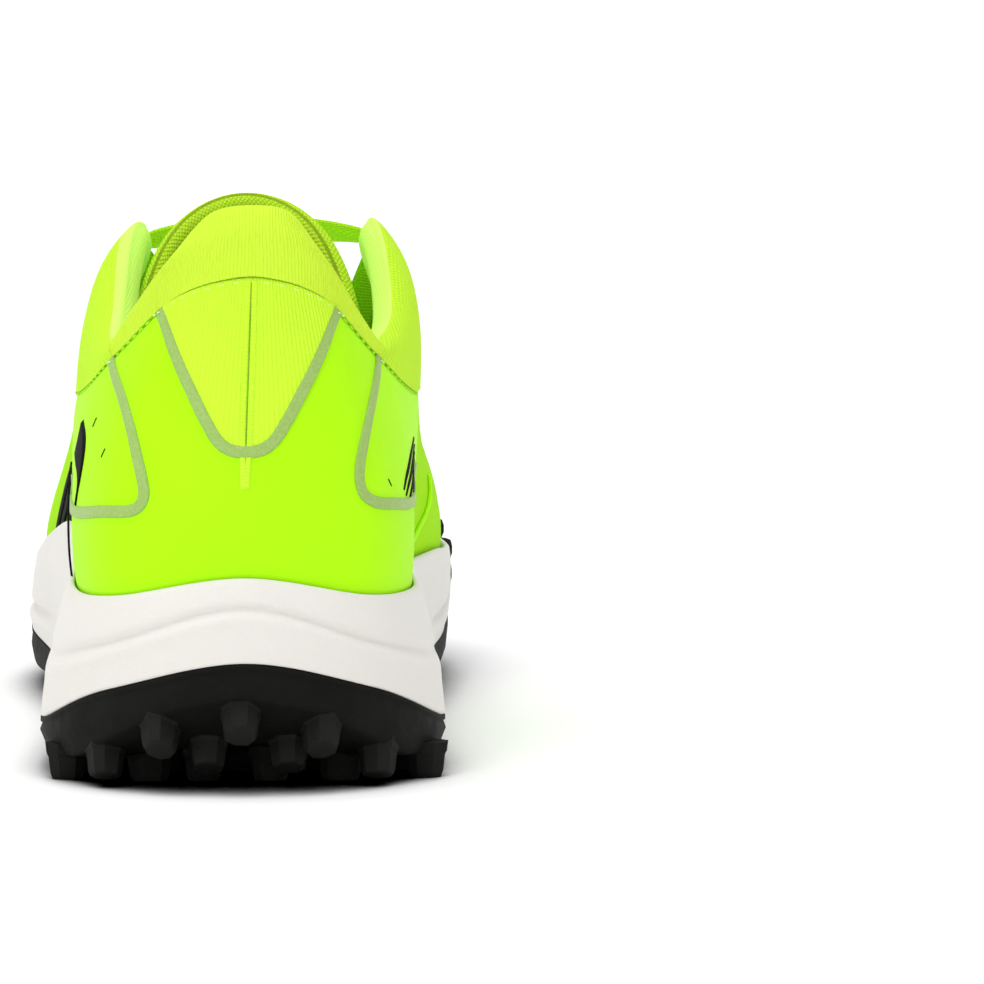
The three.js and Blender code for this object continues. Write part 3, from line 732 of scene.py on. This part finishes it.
def outsole_profile(station):
    """The rubber shell: a sheet under the foam and a wall up its side, with a thin lip along the top."""
    rim, flare, tread, parting = sole_edge(station)
    foot = footprint(station, flare - WALL - 0.4, 0)
    foot[:, 2] = sheet_top(foot[:, 1])
    low = tread[:, 2]
    return [
        *(inwards(foot, share, sheet_top) for share in (0, 0.3, 0.6, 0.8, 0.92)),
        foot,
        *(footprint(station, flare + out, parting + up) for out, up in RUBBER_LIP),
        footprint(station, flare + 0.2, low + 0.5 * (parting - low)),
        footprint(station, flare - 0.4, low + 1.6),
        footprint(station, flare - 0.8, low + 0.5),
        tread,
        *(inwards(tread, share, sheet_bottom) for share in (0.98, 0.92, 0.8, 0.6, 0.3, 0)),
    ]


# A lug's outline, as shares of its width and length: a block with its corners cut off.
LUG_CORNERS = np.array([
    (0.5, -0.2), (0.5, 0.22), (0.26, 0.5), (-0.2, 0.5),
    (-0.5, 0.24), (-0.5, -0.26), (-0.24, -0.5), (0.22, -0.5),
])
# How far down each ring of a lug is, as a share of its depth, and how large it is there.
LUG_RINGS = [(-0.4, 1.16), (0.0, 1.1), (0.12, 1.0), (0.78, 0.9), (0.97, 0.8), (1.0, 0.72)]


def lug(x, y, width, length, turn=0.0):
    """One tread lug standing square on the sheet's underside, as rings of points."""
    spin = np.array([[math.cos(turn), -math.sin(turn)], [math.sin(turn), math.cos(turn)]])
    slope = float(sheet_bottom(y + 0.5) - sheet_bottom(y - 0.5))
    down = unit(np.array([0, slope, -1.0]))
    rings = []
    for share, scale in LUG_RINGS:
        at = (LUG_CORNERS * (width, length) * scale) @ spin.T + (x, y)
        rings.append(np.column_stack([at, sheet_bottom(at[:, 1])]) + down * LUG_DEPTH * share)
    return np.stack(rings)


def side_lug(station, z, depth, width=8.0, height=6.0):
    """One lug on the rubber wall round the toe, as rings of points."""
    at = footprint(np.array([station]), around(SOLE, [station])[:, 2] - 0.6, z)[0]
    ahead = footprint(np.array([station + 0.02]), around(SOLE, [station])[:, 2] - 0.6, z)[0]
    along = unit(ahead - at)
    outwards = np.array([-along[1], along[0], 0])
    rings = []
    for out, scale in LUG_RINGS:
        flat = LUG_CORNERS * (width, height) * scale
        rings.append(at + flat[:, :1] * along + flat[:, 1:] * np.array([0, 0, 1]) + outwards * depth * out)
    return np.stack(rings)


def tread_edge(y, side):
    """The tread's edge at a place along the shoe, on the lateral (-1) or medial (1) side."""
    low, high = (0.0, float(TOE)) if side < 0 else (float(COUNT), float(TOE))
    for _ in range(20):
        middle = (low + high) / 2
        if footprint(middle, 0.0, 0)[1] < y:
            low = middle
        else:
            high = middle
    return float(footprint(low, around(SOLE, low)[..., 2] - 3, 0)[0])


# The heel's lugs (x, y, turn, width): three high on the bevel, four below them, then six at the edge.
HEEL_LUGS = [
    (-20, 8.5, 0.6, 7.8), (-3, 4.8, 0, 7.8), (14, 8.5, -0.6, 7.8),
    (-32, 18, 0.5, 7.5), (-10, 14.5, 0.1, 7.4), (7, 14.5, -0.1, 7.8), (26, 18, -0.5, 7.5),
    (-41, 30, 0.1, 8), (-23, 25, 0.3, 9), (-11.5, 26, 0.1, 8), (3, 25, -0.1, 8), (18, 25, -0.3, 9),
    (36.5, 30, -0.1, 8),
]
# The lugs round the toe's medial side: station, height and how far they stand out.
SIDE_LUGS = [(9.55, 33, 4.4), (10.05, 33.5, 4.4), (10.5, 34, 4.4), (10.87, 30, 3.4), (11.2, 25, 1.8)]


TREAD_START, TREAD_PITCH, TREAD_ROWS = 43, 16.3, 15  # the rows of lugs ahead of the heel's
TREAD_GAP = 0.5  # between two lugs, as a share of their width


def tread_lugs():
    lugs = [lug(x, y, width, 6.5, turn) for x, y, turn, width in HEEL_LUGS]
    for row in range(TREAD_ROWS):
        y = TREAD_START + row * TREAD_PITCH
        left, right = tread_edge(y, -1), tread_edge(y, 1)
        count = 4 if row % 2 else 5
        width = (right - left) / (count + TREAD_GAP * (count - 1))
        for i in range(count):
            turn = 0.35 * (1 if y > 130 else -1) * (1 if i < count / 2 else -1)
            edge = i in (0, count - 1)
            x = left + width * (0.5 + (1 + TREAD_GAP) * i)
            lugs.append(lug(x, y, width, 9.5, 0 if edge else turn))
    return lugs + [side_lug(*place) for place in SIDE_LUGS]


def make_outsole():
    nodes = ("outsole_rear", "outsole_front")
    rubber = rubber_material()
    turned("outsole", outsole_profile, rubber, slot="outsole_rubber", nodes=nodes, bend=True)
    lugs = tread_lugs()
    rings, corners = lugs[0].shape[:2]
    one = tube_faces(rings, corners)
    faces = [face for k in range(len(lugs)) for face in shifted(one, k * rings * corners)]
    points = np.concatenate([ring.reshape(-1, 3) for ring in lugs])
    # The lugs' rubber is a paler copy: painted highlight for the light on their facets.
    rubber = rubber_material("lug_rubber_painted_highlight", 2.2)
    piece("tread_lugs", points, faces, rubber, slot="outsole_rubber", bend=True, crease=20)


# ---------------- upper

def graph(points):
    """A smooth function through given (x, y) points."""
    line = curve_through(points, 60 * len(points))
    return lambda x: np.interp(x, line[:, 0], line[:, 1])


# The stitched seam below the tab and the collar, as v against stations from the heel.
SEAM = graph([
    (-0.5, 0.846), (0, 0.857), (0.5, 0.846), (1.0, 0.829), (1.5, 0.814), (2.0, 0.785), (2.5, 0.71),
    (3.1, 0.64), (3.8, 0.57),
])
# The collar's top edge on each side: a dome at the heel, a dip beside it, and a rise to the lobe.
EDGE_LATERAL = graph([
    (-0.5, 0.99), (0, 0.994), (0.5, 0.99), (1.0, 0.985), (1.4, 0.975), (1.75, 0.93), (2.1, 0.83),
    (2.6, 0.9), (3.1, 0.98), (3.6, 1.005), (4.4, 1.0),
])
EDGE_MEDIAL = graph([
    (-0.5, 0.99), (0, 0.994), (0.5, 0.99), (0.9, 0.982), (1.25, 0.955), (1.6, 0.89), (2.05, 0.83),
    (2.5, 0.9), (3.0, 0.98), (3.6, 1.0), (4.4, 1.0),
])


def from_heel(station):
    """Stations counted from the heel: positive on the lateral side, negative on the medial."""
    return (np.asarray(station, float) + TOE) % COUNT - TOE


def seam(station):
    return SEAM(np.abs(from_heel(station)))


def edge(station):
    signed = from_heel(station)
    return np.where(signed > 0, EDGE_LATERAL(signed), EDGE_MEDIAL(-signed))


def make_knit():
    """The whole knitted upper as one shell, from the feather edge to the collar and throat."""
    material = neon_cloth("upper_knit", GREEN, weave(0.55, 0.8), 0.00015)
    shares = np.linspace(0, 1, 40)

    def profile(station):
        top = edge(station) - 0.015 - 0.025 * (np.abs(from_heel(station)) < LATERAL_LOBE)
        outside = [upper(station, top * share, 0.0) for share in shares]
        inside = [upper(station, top * share, -1.0) for share in shares[::-1]]
        lip, foot = upper(station, top + 0.004, -0.5), upper(station, -0.01, -0.5)
        return [*outside, lip, *inside, foot, outside[0]]

    nodes = ("quarter_lateral", "quarter_medial", "vamp", "toe_box", "vamp_flex")
    turned("upper_knit", profile, material, slot="knit", nodes=nodes, bend=True)


FILM_FRONT = 4.1  # station of the film's foremost corner, at the midsole
TAB_END = 2.03
# The lower border of the ribbed V panel, as v against stations from the heel.
V_BORDER = [
    (-0.14, 0.469), (0, 0.464), (0.14, 0.469), (0.25, 0.49), (0.36, 0.53), (0.56, 0.604), (0.86, 0.7),
    (1.25, 0.82),
]
# The heel's centre seam, downwards: how far its edges stand apart, as a share, and v.
HEEL_SEAM = [(1, 0.85), (1, 0.72), (0.9, 0.6), (0.7, 0.49), (0.3, 0.38)]


def make_film():
    """The fused film round the heel, from the midsole's rim up to the seam."""

    def place(u, v, out):
        station = (2 * u - 1) * (FILM_FRONT - 0.9 * v**1.5)
        low = rise(station, around(SOLE, station)[..., 0] - 1)
        return upper(station, low + (seam(station) - 0.004 - low) * v, out)

    nodes = ("heel_film_lateral", "heel_film_medial")
    pillow("heel_film", place, film_material(), (215, 55), 50, 200, 0.0, 0.5, 0.3,
           slot="film", nodes=nodes, body="rear")


def make_rib_panel():
    material = neon_cloth("heel_rib", RIB_GREEN, ribs(0.8), 0.00008, painted_hollow_shade=0.93)
    border = graph(V_BORDER)

    def place(u, v, out):
        station = (2 * u - 1) * 1.22
        low = border(np.abs(station))
        return upper(station, low + (seam(station) - low) * v, out)

    pillow("heel_rib_panel", place, material, (42, 30), 40, 90, 0.3, 0.7, 0.3,
           slot="rib_knit", body="rear")
    shadow = plain_material("seam_shadow", (0.2, 0.42, 0.01), 0.9)
    for name, station, wide, high, cloth in (
        ("heel_seam_left", 0.045, 1.3, 0.95, material),
        ("heel_seam_right", -0.045, 1.3, 0.95, material),
        ("heel_seam_line", 0, 0.45, 0.84, shadow),
    ):
        line = [(station * share, v) for share, v in HEEL_SEAM]
        tape(name, line, wide, 0.4, high, cloth, slot="rib_knit", body="rear")


# The padded collar's cross-section: the outside from the seam up, in shares of the height up to the edge,
# then the top and the inside, in millimetres above the edge. With each is its distance from the surface.
ROLL_OUTSIDE = [(0.0, 0.5), (0.04, 0.62), (0.4, 1.0), (0.75, 0.9)]
ROLL_INSIDE = [
    (0.2, -0.7), (0.9, -2.7), (-0.2, -5.0), (-3, -6.7), (-10, -7.4), (-22, -7), (-30, -5.4), (-30, -1.6),
]
ROLL_CREASE = {1: 0.28, -1: 0.31}  # share of the way round at which the pale cloth begins, on each side
MM_PER_V = 95.0


def collar_section(station, puff):
    """A loop of points round the padded collar at one station."""
    low, high = float(seam(station)), float(edge(station))
    lobe = smooth(abs(station), 2.6, 3.7)
    grow = puff + 1.2 * lobe
    loop = [(low + (high - low) * share, out * (1 + grow * share)) for share, out in ROLL_OUTSIDE]
    loop += [(high + (up + 1.2 * lobe) / MM_PER_V, out + 0.8 * lobe) for up, out in ROLL_INSIDE]
    loop += [(low - 0.005, -1.1)]
    line = around(loop, np.linspace(0, len(loop), 60, endpoint=False))
    return upper(np.full(len(line), station), line[:, 0], line[:, 1])


def closed_end(loops, share):
    """Draws the first and last loops of a roll together, so that it ends in a rounded nose."""
    middle = loops.mean(axis=1, keepdims=True)
    return middle + (loops - middle) * share[:, None, None]


def collar_roll(name, ends, round_ends, puff, materials, crease=0, steps=110, **options):
    """A padded roll along the collar. A second material begins inwards of the top, at the crease."""
    stations = np.linspace(*ends, steps)
    nose = 0.1
    grow = np.ones(steps)
    for end, is_round in zip(ends, round_ends):
        near = np.clip(np.abs(stations - end) / nose, 0, 1)
        if is_round:
            grow = np.minimum(grow, 0.03 + 0.97 * np.sqrt(1 - (1 - near) ** 2))
    loops = closed_end(np.stack([collar_section(s, puff) for s in stations]), grow)
    roll = lofted(name, loops, materials[0], body="rear", **options)
    if len(materials) > 1:
        roll.data.materials.append(materials[1])
        columns = loops.shape[1]
        paint = np.zeros(len(roll.data.polygons), int)
        column = np.arange((steps - 1) * columns) % columns
        paint[: len(column)] = (crease * columns <= column) & (column < 0.95 * columns)
        roll.data.polygons.foreach_set("material_index", paint)


def make_collar():
    outer = neon_cloth("collar_outer", COLLAR_GREEN, weave(0.55, 0.8), 0.0001)
    # The pale cloth's strong emission is painted glow, which keeps it bright in the shade inside the
    # collar.
    pale = neon_cloth("collar_cloth", PALE_GREEN, weave(1.2), 0.00004, 0.6, 0.2, painted_hollow_shade=0.92)
    for sign, word in ((1, "lateral"), (-1, "medial")):
        ends = (sign * (TAB_END - 0.02), sign * (LATERAL_LOBE + 0.2))
        nodes = (f"collar_cover_{word}", f"collar_foam_{word}")
        collar_roll(f"collar_{word}", ends, (False, True), 0.6, (outer, pale), ROLL_CREASE[sign],
                    slot="collar_cloth", nodes=nodes)
    rib = neon_cloth("tab_rib", TAB_GREEN, ribs(0.8), 0.00008, painted_hollow_shade=0.93)
    collar_roll("heel_tab", (-TAB_END, TAB_END), (False, False), 1.8, (rib,), steps=150,
                slot="rib_knit")


def make_lining():
    material = neon_cloth("lining_cloth", OLIVE, weave(0.7), 0.0002, 0.85, 0.0)

    def place(u, v, out):
        station = -4.1 + 8.2 * u
        height = 0.03 + (edge(station) - 0.31 - 0.03) * v
        depth = -3.2 - 3.4 * smooth(height, 0.36, 0.56)
        return upper(station, height, depth + out)

    pillow("collar_lining", place, material, (250, 60), 30, 130, -0.9, 0.0, 0.5,
           slot="lining", body="rear")


# Routes of the reflective tapes, as (station, v).
V_HALF = V_BORDER[2:]
V_ROUTE = [(-s, v) for s, v in reversed(V_HALF)] + [(0, 0.464)] + V_HALF
LATERAL_ROUTE = [
    (2.0, 0.775), (1.72, 0.7), (1.44, 0.624), (1.22, 0.56), (1.04, 0.5), (0.9, 0.44), (0.81, 0.39),
    (0.78, 0.355), (0.83, 0.33), (0.97, 0.322), (1.26, 0.327), (1.84, 0.342), (2.6, 0.352), (3.5, 0.36),
]
MEDIAL_ROUTE = [
    (-1.96, 0.778), (-1.8, 0.72), (-1.62, 0.66), (-1.28, 0.548), (-1.07, 0.465), (-0.98, 0.41),
    (-0.98, 0.37), (-1.07, 0.35), (-1.25, 0.345), (-1.72, 0.36), (-2.5, 0.375), (-3.5, 0.38),
]


REFLECTIVE_WIDTH = 2.8


def make_tapes():
    material = reflective_material()
    thread = plain_material("tack_thread", (0.62, 0.85, 0.45), 0.7)
    for word, route in (("v", V_ROUTE), ("lateral", LATERAL_ROUTE), ("medial", MEDIAL_ROUTE)):
        tape(f"reflective_{word}", route, REFLECTIVE_WIDTH, 0.3, 1.0, material, count=110,
             slot="reflective", body="rear")
    ends = [V_ROUTE[0], V_ROUTE[-1], LATERAL_ROUTE[0], MEDIAL_ROUTE[0]]
    for number, (station, v) in enumerate(ends):
        across = np.linspace(-0.07, 0.07, 12)
        points = upper(station + across, v - 0.012 + 0 * across, 1.05)
        normals = upper_normal(station + across, v + 0 * across)
        name = f"bar_tack_{number}"
        stitches(name, points, normals, thread, 1.2, 0.3, 0.22, slot="reflective", body="rear")


def make_seams():
    """The stitches along the seam under the tab and the collar: pale at the heel, green along the sides."""
    pale = plain_material("seam_thread", (0.62, 0.95, 0.2), 0.7)
    green = plain_material("side_thread", GREEN, 0.7)
    for name, first, last, thread in (
        ("tab_stitches", -1.3, 1.3, pale),
        ("side_stitches_lateral", 1.33, 2.9, green),
        ("side_stitches_medial", -2.9, -1.33, green),
    ):
        station = np.linspace(first, last, 200)
        points = upper(station, seam(station) - 0.012, 0.55)
        normals = upper_normal(station, seam(station))
        stitches(name, points, normals, thread, 1.9, 1.3, 0.2, slot="film", body="rear")


# Generic slanted dashes, as (station, v) routes counted from the heel. They are thin at both ends.
DASHES = {
    "lateral": [
        [(3.9, 0.4), (4.3, 0.35), (4.7, 0.26), (5.0, 0.19)],
        [(3.8, 0.385), (4.15, 0.33), (4.45, 0.27), (4.7, 0.2)],
        [(3.7, 0.37), (3.95, 0.31), (4.2, 0.25), (4.35, 0.2)],
        [(3.6, 0.35), (3.75, 0.29), (3.95, 0.23), (4.05, 0.18)],
    ],
    "medial": [
        [(1.8, 0.4), (2.0, 0.445), (2.3, 0.49), (2.7, 0.52)],
        [(1.85, 0.385), (2.06, 0.425), (2.4, 0.465), (2.8, 0.49)],
        [(1.92, 0.37), (2.15, 0.405), (2.5, 0.44), (2.9, 0.46)],
        [(2.0, 0.355), (2.25, 0.385), (2.6, 0.415), (3.0, 0.43)],
    ],
}
DASH_WIDTH = {"lateral": 1.6, "medial": 1.0}
HEEL_FLASH = [(1.99, 0.36), (1.98, 0.43), (2.1, 0.5), (2.35, 0.54)]
# A dark line along the film's front edge: painted shadow of the edge.
FILM_EDGE = [(2.62, 0.42), (2.46, 0.35), (2.33, 0.28), (2.24, 0.22), (2.17, 0.155)]
OVERLAY_EDGE = [(-4.2, 0.15), (-4.44, 0.21), (-4.62, 0.25), (-4.75, 0.29), (-4.84, 0.335), (-4.86, 0.38)]
# Small dark marks where the film is slit: painted shade in the cuts.
FILM_SLITS = [[(1.88, 0.6), (1.92, 0.575)], [(1.44, 0.49), (1.48, 0.47)], [(-1.42, 0.412), (-1.47, 0.396)]]


def on_side(side, route):
    """A route of (station, v) points on the lateral (1) or medial (-1) side."""
    return [(side * station, v) for station, v in route]


def make_bands():
    """Generic tapered dashes on both sides and a dark flash beside the heel, which are print, and on the
    film a dark edge line and small dark slit marks, which are painted shade.
    """
    # One dark material serves the printed dashes and the painted shade along the film's edge and in its
    # slits.
    print_and_shade_ink = plain_material("band_print_and_painted_shade", (0.006, 0.006, 0.006), 0.7, Specular_IOR_Level=0.06)
    dark_mark_options = {"slot": "dark_print", "body": "rear"}
    for side, word in ((1, "lateral"), (-1, "medial")):
        def width(u, most=DASH_WIDTH[word]):
            return 0.5 + most * np.sin(math.pi * u) ** 1.2

        for number, route in enumerate(DASHES[word]):
            nodes = (f"side_band_{word}",) if number == 0 else ()
            tape(f"side_band_{word}_{number}", on_side(side, route), width, 0.3, 0.75, print_and_shade_ink,
                 nodes=nodes, **dark_mark_options)
    tape("heel_flash", HEEL_FLASH, lambda u: 0.6 + 9 * smooth(u, 0.15, 0.75), 0.3, 0.9, print_and_shade_ink, **dark_mark_options)
    # Painted shadow: a dark line along the film's front edge.
    tape("film_edge", FILM_EDGE, 0.9, 1.0, 1.5, print_and_shade_ink, **dark_mark_options)
    tape("overlay_edge", OVERLAY_EDGE, 1.4, 0.1, 0.9, film_material(), slot="film", body="rear")
    # Painted shade: dark marks in the film's slits.
    for number, route in enumerate(FILM_SLITS):
        tape(f"film_slit_{number}", route, 0.5, 0.2, 0.7, print_and_shade_ink, count=12, **dark_mark_options)


EYELETS = [4.2, 4.75, 5.3, 5.9, 6.5, 7.2]
EYELET_V = 0.915


def make_eyestays():
    material = film_material()
    for side, word in ((1, "lateral"), (-1, "medial")):
        def place(u, v, out, side=side):
            station = side * (LATERAL_LOBE - 0.02 + (TOE - LATERAL_LOBE - 0.08) * u)
            return upper(station, 0.83 + 0.155 * v, out)

        name = f"eyestay_{word}"
        pillow(name, place, material, (140, 14), 14, 110, 0.0, 0.9, 0.6,
               slot="film", bend=True)


# ---------------- tongue and lace

TONGUE_LINE = [(1, 190, 61), (1, 158, 78), (1, 130, 92), (0.5, 105, 105), (-3.4, 94, 123.5)]
TONGUE_SIDES = [(13, 4, 0), (21, 11, 2), (24, 17, 4), (22.5, 22, 7), (21.9, 25, 9)]


def tongue_skin(across, along):
    line = curve_through(TONGUE_LINE, 201)
    sides = curve_through(TONGUE_SIDES, 201)
    at = np.clip(along, 0, 1) * 200
    point = np.stack([np.interp(at, np.arange(201), line[:, k]) for k in range(3)], -1)
    half, droop, back = (np.interp(at, np.arange(201), sides[:, k]) for k in range(3))
    arch = 0.6 * across**2 + 0.4 * across**6
    return point + np.stack([half * across, -back * across**2, -droop * arch], -1)


def tongue(across, along, out):
    """The tongue's middle surface moved outwards, towards the lace, by a distance."""
    step = 0.01
    inside = np.clip(along, step, 1 - step)
    sideways = tongue_skin(across + step, inside) - tongue_skin(across - step, inside)
    up = tongue_skin(across, inside + step) - tongue_skin(across, inside - step)
    return tongue_skin(across, along) + unit(np.cross(up, sideways)) * np.asarray(out, float)[..., None]


def bend_tongue(thing):
    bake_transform(thing)


def tongue_rim(along, out, radius, flat):
    """Loops of points round a cord along the tongue's top edge."""
    angle = np.linspace(0, 2 * math.pi, 16, endpoint=False)
    loops = []
    for across in np.linspace(-1, 1, 80):
        centre = tongue(np.full(16, across), np.full(16, along), np.full(16, out) + radius * np.sin(angle))
        up = unit(tongue_skin(across, 0.99) - tongue_skin(across, 0.97))
        loops.append(centre + up * (flat * radius * np.cos(angle))[:, None])
    return np.stack(loops)


def make_tongue():
    # The tongue's cloths carry painted glow in their emission, which keeps them bright in shade.
    cloth = neon_cloth("tongue_cloth", (0.47, 0.80, 0.02, 1), weave(0.45), 0.0002, 0.8, 0.12)

    def outside(u, v, out):
        return tongue(2 * u - 1, v * 0.985, out)

    pad = pillow("tongue", outside, cloth, (46, 115), 90, 60, 0.8, 3.6, 1.6,
                 slot="tongue_cloth", nodes=("tongue", "tongue_top"))
    bend_tongue(pad)
    lining_cloth = neon_cloth("tongue_lining_cloth", TONGUE_OLIVE, weave(0.9), 0.0002, 0.85, 0.06)

    def inside(u, v, out):
        return tongue((2 * u - 1) * 0.95, 0.04 + v * 0.935, out)

    bend_tongue(pillow("tongue_lining", inside, lining_cloth, (43, 110), 60, 40, -0.2, 1.0, 0.4,
                       slot="lining"))
    edging = neon_cloth("binding_cloth", (0.50, 0.80, 0.03, 1), weave(0.9), 0.0002, 0.8, 0.12)
    bend_tongue(lofted("tongue_binding", tongue_rim(0.985, 1.9, 2.1, 1.1), edging,
                       slot="binding"))
    pale = neon_cloth("piping_cloth", (0.52, 0.66, 0.34, 1), weave(1.2), 0.0001, 0.8, 0.02)
    bend_tongue(lofted("tongue_piping", tongue_rim(0.962, 0.1, 0.6, 1.0), pale, slot="binding"))


def eyelet(row, side, out):
    return upper(side * EYELETS[row], EYELET_V + (0.04 if row == 0 else 0), out)


def strand(ends, lift, width=6.0, thick=1.3):
    """A flat strand of lace between two eyelets: up out of one, over the tongue, and down the other."""
    count = 40
    share = np.linspace(0, 1, count)
    up = unit(np.array([0, 0.5, 1.0]))
    start, end = ends
    line = start + (end - start) * share[:, None] + up * (lift * (1 - (2 * share - 1) ** 2))[:, None]
    dive = 3.2 * (np.exp(-((share / 0.045) ** 2)) + np.exp(-(((1 - share) / 0.045) ** 2)))
    line = line - up * dive[:, None]
    along = unit(np.gradient(line, axis=0))
    across = unit(np.cross(np.broadcast_to(up, along.shape), along))
    normal = unit(np.cross(along, across))
    angle = np.linspace(0, 2 * math.pi, 16, endpoint=False)
    narrow = 0.45 + 0.55 * smooth(np.minimum(share, 1 - share), 0.02, 0.12)
    round_it = np.sign(np.cos(angle)) * np.abs(np.cos(angle)) ** 0.6
    flat = np.sign(np.sin(angle)) * np.abs(np.sin(angle)) ** 0.6
    return (
        line[:, None]
        + across[:, None] * (round_it[None, :, None] * (width / 2 * narrow)[:, None, None])
        + normal[:, None] * (flat[None, :, None] * thick / 2)
    )


def make_lace():
    # The lace's strong emission is painted glow, which lifts the strands lying in the shoe's shade.
    cord = neon_cloth("lace_weave", LACE_GREEN, weave(0.8, 0.6), 0.0003, 0.75, 0.3)
    out = 2.0
    last = len(EYELETS) - 1
    ends = [((0, 1), (0, -1), 5.5), ((last, 1), (last, -1), 4.0)]
    for row in range(last):
        over, under = (7.2, 5.4) if row % 2 else (5.4, 7.2)
        ends.append(((row, 1), (row + 1, -1), over))
        ends.append(((row, -1), (row + 1, 1), under))
    points, faces, uvs, start = [], [], [], 0
    for one, two, lift in ends:
        loops = strand((eyelet(*one, out), eyelet(*two, out)), lift)
        rows, columns = loops.shape[:2]
        points.append(loops.reshape(-1, 3))
        faces += shifted(tube_faces(rows, columns), start)
        u, v = np.meshgrid(np.linspace(0, 14, columns), np.linspace(0, 60, rows))
        uvs.append(np.stack([u.ravel(), v.ravel()], 1))
        start += rows * columns
    piece("lace", np.concatenate(points), faces, cord, uvs=np.concatenate(uvs),
          slot="lace_cord", body="rear")


TAIL = [(4.3, 0.93), (4.7, 0.9), (5.3, 0.88)]  # routes under the eyestays, as (station, v)
AGLET = [(5.32, 0.878), (5.6, 0.87), (5.9, 0.865)]


def make_lace_ends():
    """The lace's ends, tucked in beside the tongue, their film tips, and the loop that holds the lace."""
    cord = neon_cloth("lace_tail_weave", LACE_GREEN, weave(0.8, 0.6), 0.0003, 0.75)
    tip = plain_material("aglet_film", (0.65, 0.7, 0.58), 0.2)
    for side, word in ((1, "lateral"), (-1, "medial")):
        tail, aglet = f"lace_tail_{word}", f"aglet_{word}"
        tape(tail, on_side(side, TAIL), 5, -3.6, -2.3, cord, count=50,
             slot="lace_cord", body="rear")
        tape(aglet, on_side(side, AGLET), 2.8, -3.9, -1.9, tip, count=40,
             slot="aglet_film", body="rear")

    def place(u, v, out):
        return tongue(0.56 * u - 0.28, 0.57 + 0.05 * v, out)

    pillow("lace_loop", place, film_material(), (13, 5.5), 12, 40, 3.5, 4.3, 0.5,
           slot="film", body="rear")


# ---------------- inside

INSOLE_SPLIT = 200.3  # where the insole's liftable rear part meets its front part, along the shoe


def insole_side(y, sign):
    """The insole's edge at a place along the shoe, on the lateral (1) or medial (-1) side."""
    stations = np.linspace(0, sign * TOE, 300)
    edges = footprint(stations, np.full(300, -4.6), 0)
    return np.interp(y, edges[:, 1], edges[:, 0])


def make_insole():
    cloth = neon_cloth("insole_cloth", (0.035, 0.04, 0.045, 1), weave(0.5), 0.0002, 0.9, 0.0)
    ends = footprint(np.array([0.0, TOE]), np.full(2, -4.6), 0)[:, 1]
    parts = {
        "insole_rear": (ends[0], INSOLE_SPLIT, ("insole_heel", "insole_ball")),
        "insole_front": (ends[1], INSOLE_SPLIT + 0.2, ("insole_toe",)),
    }
    for name, (tip, cut, nodes) in parts.items():
        def place(u, v, out, tip=tip, cut=cut):
            y = tip + (cut - tip) * u**1.7
            left, right = insole_side(y, 1), insole_side(y, -1)
            cup = 2.5 * np.abs(2 * v - 1) ** 8 * (1 - smooth(y, 70, 130))
            return np.stack([left + (right - left) * v, y, footbed(y) + 2.0 + cup + out], -1)

        part = pillow(name, place, cloth, (190, 70), 50, 120, 0.0, 3.8, 1.2,
                      slot="insole_cloth", nodes=nodes, bend=name == "insole_front")
        if name == "insole_rear":
            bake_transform(part)


def make_counter():
    """The stiff cup between the lining and the film round the heel."""
    board = plain_material("counter_board", (0.74, 0.72, 0.66), 0.5)

    def place(u, v, out):
        return upper(-2.9 + 5.8 * u, 0.03 + 0.5 * v, out)

    pillow("heel_counter", place, board, (210, 38), 24, 110, -2.4, -1.3, 0.5,
           slot="counter_board", body="rear")


def dress_cad():
    """Gives the flat boards and the plate, which keep their own meshes, procedural materials."""
    board = plain_material("strobel_cloth", (0.68, 0.66, 0.6), 0.9)
    plate = plain_material("shank_plate", (0.03, 0.035, 0.04), 0.35)
    dressed = {"strobel_board_rear": board, "strobel_board_front": board, "shank": plate}
    for name, material in dressed.items():
        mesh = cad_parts[name].data
        mesh.materials.clear()
        mesh.materials.append(material)


make_camera()
make_light()
make_floor()
make_outsole()
make_midsole()
make_knit()
make_film()
make_rib_panel()
make_collar()
make_lining()
make_tapes()
make_seams()
make_bands()
make_eyestays()
make_tongue()
make_lace()
make_lace_ends()
make_insole()
make_counter()
dress_cad()
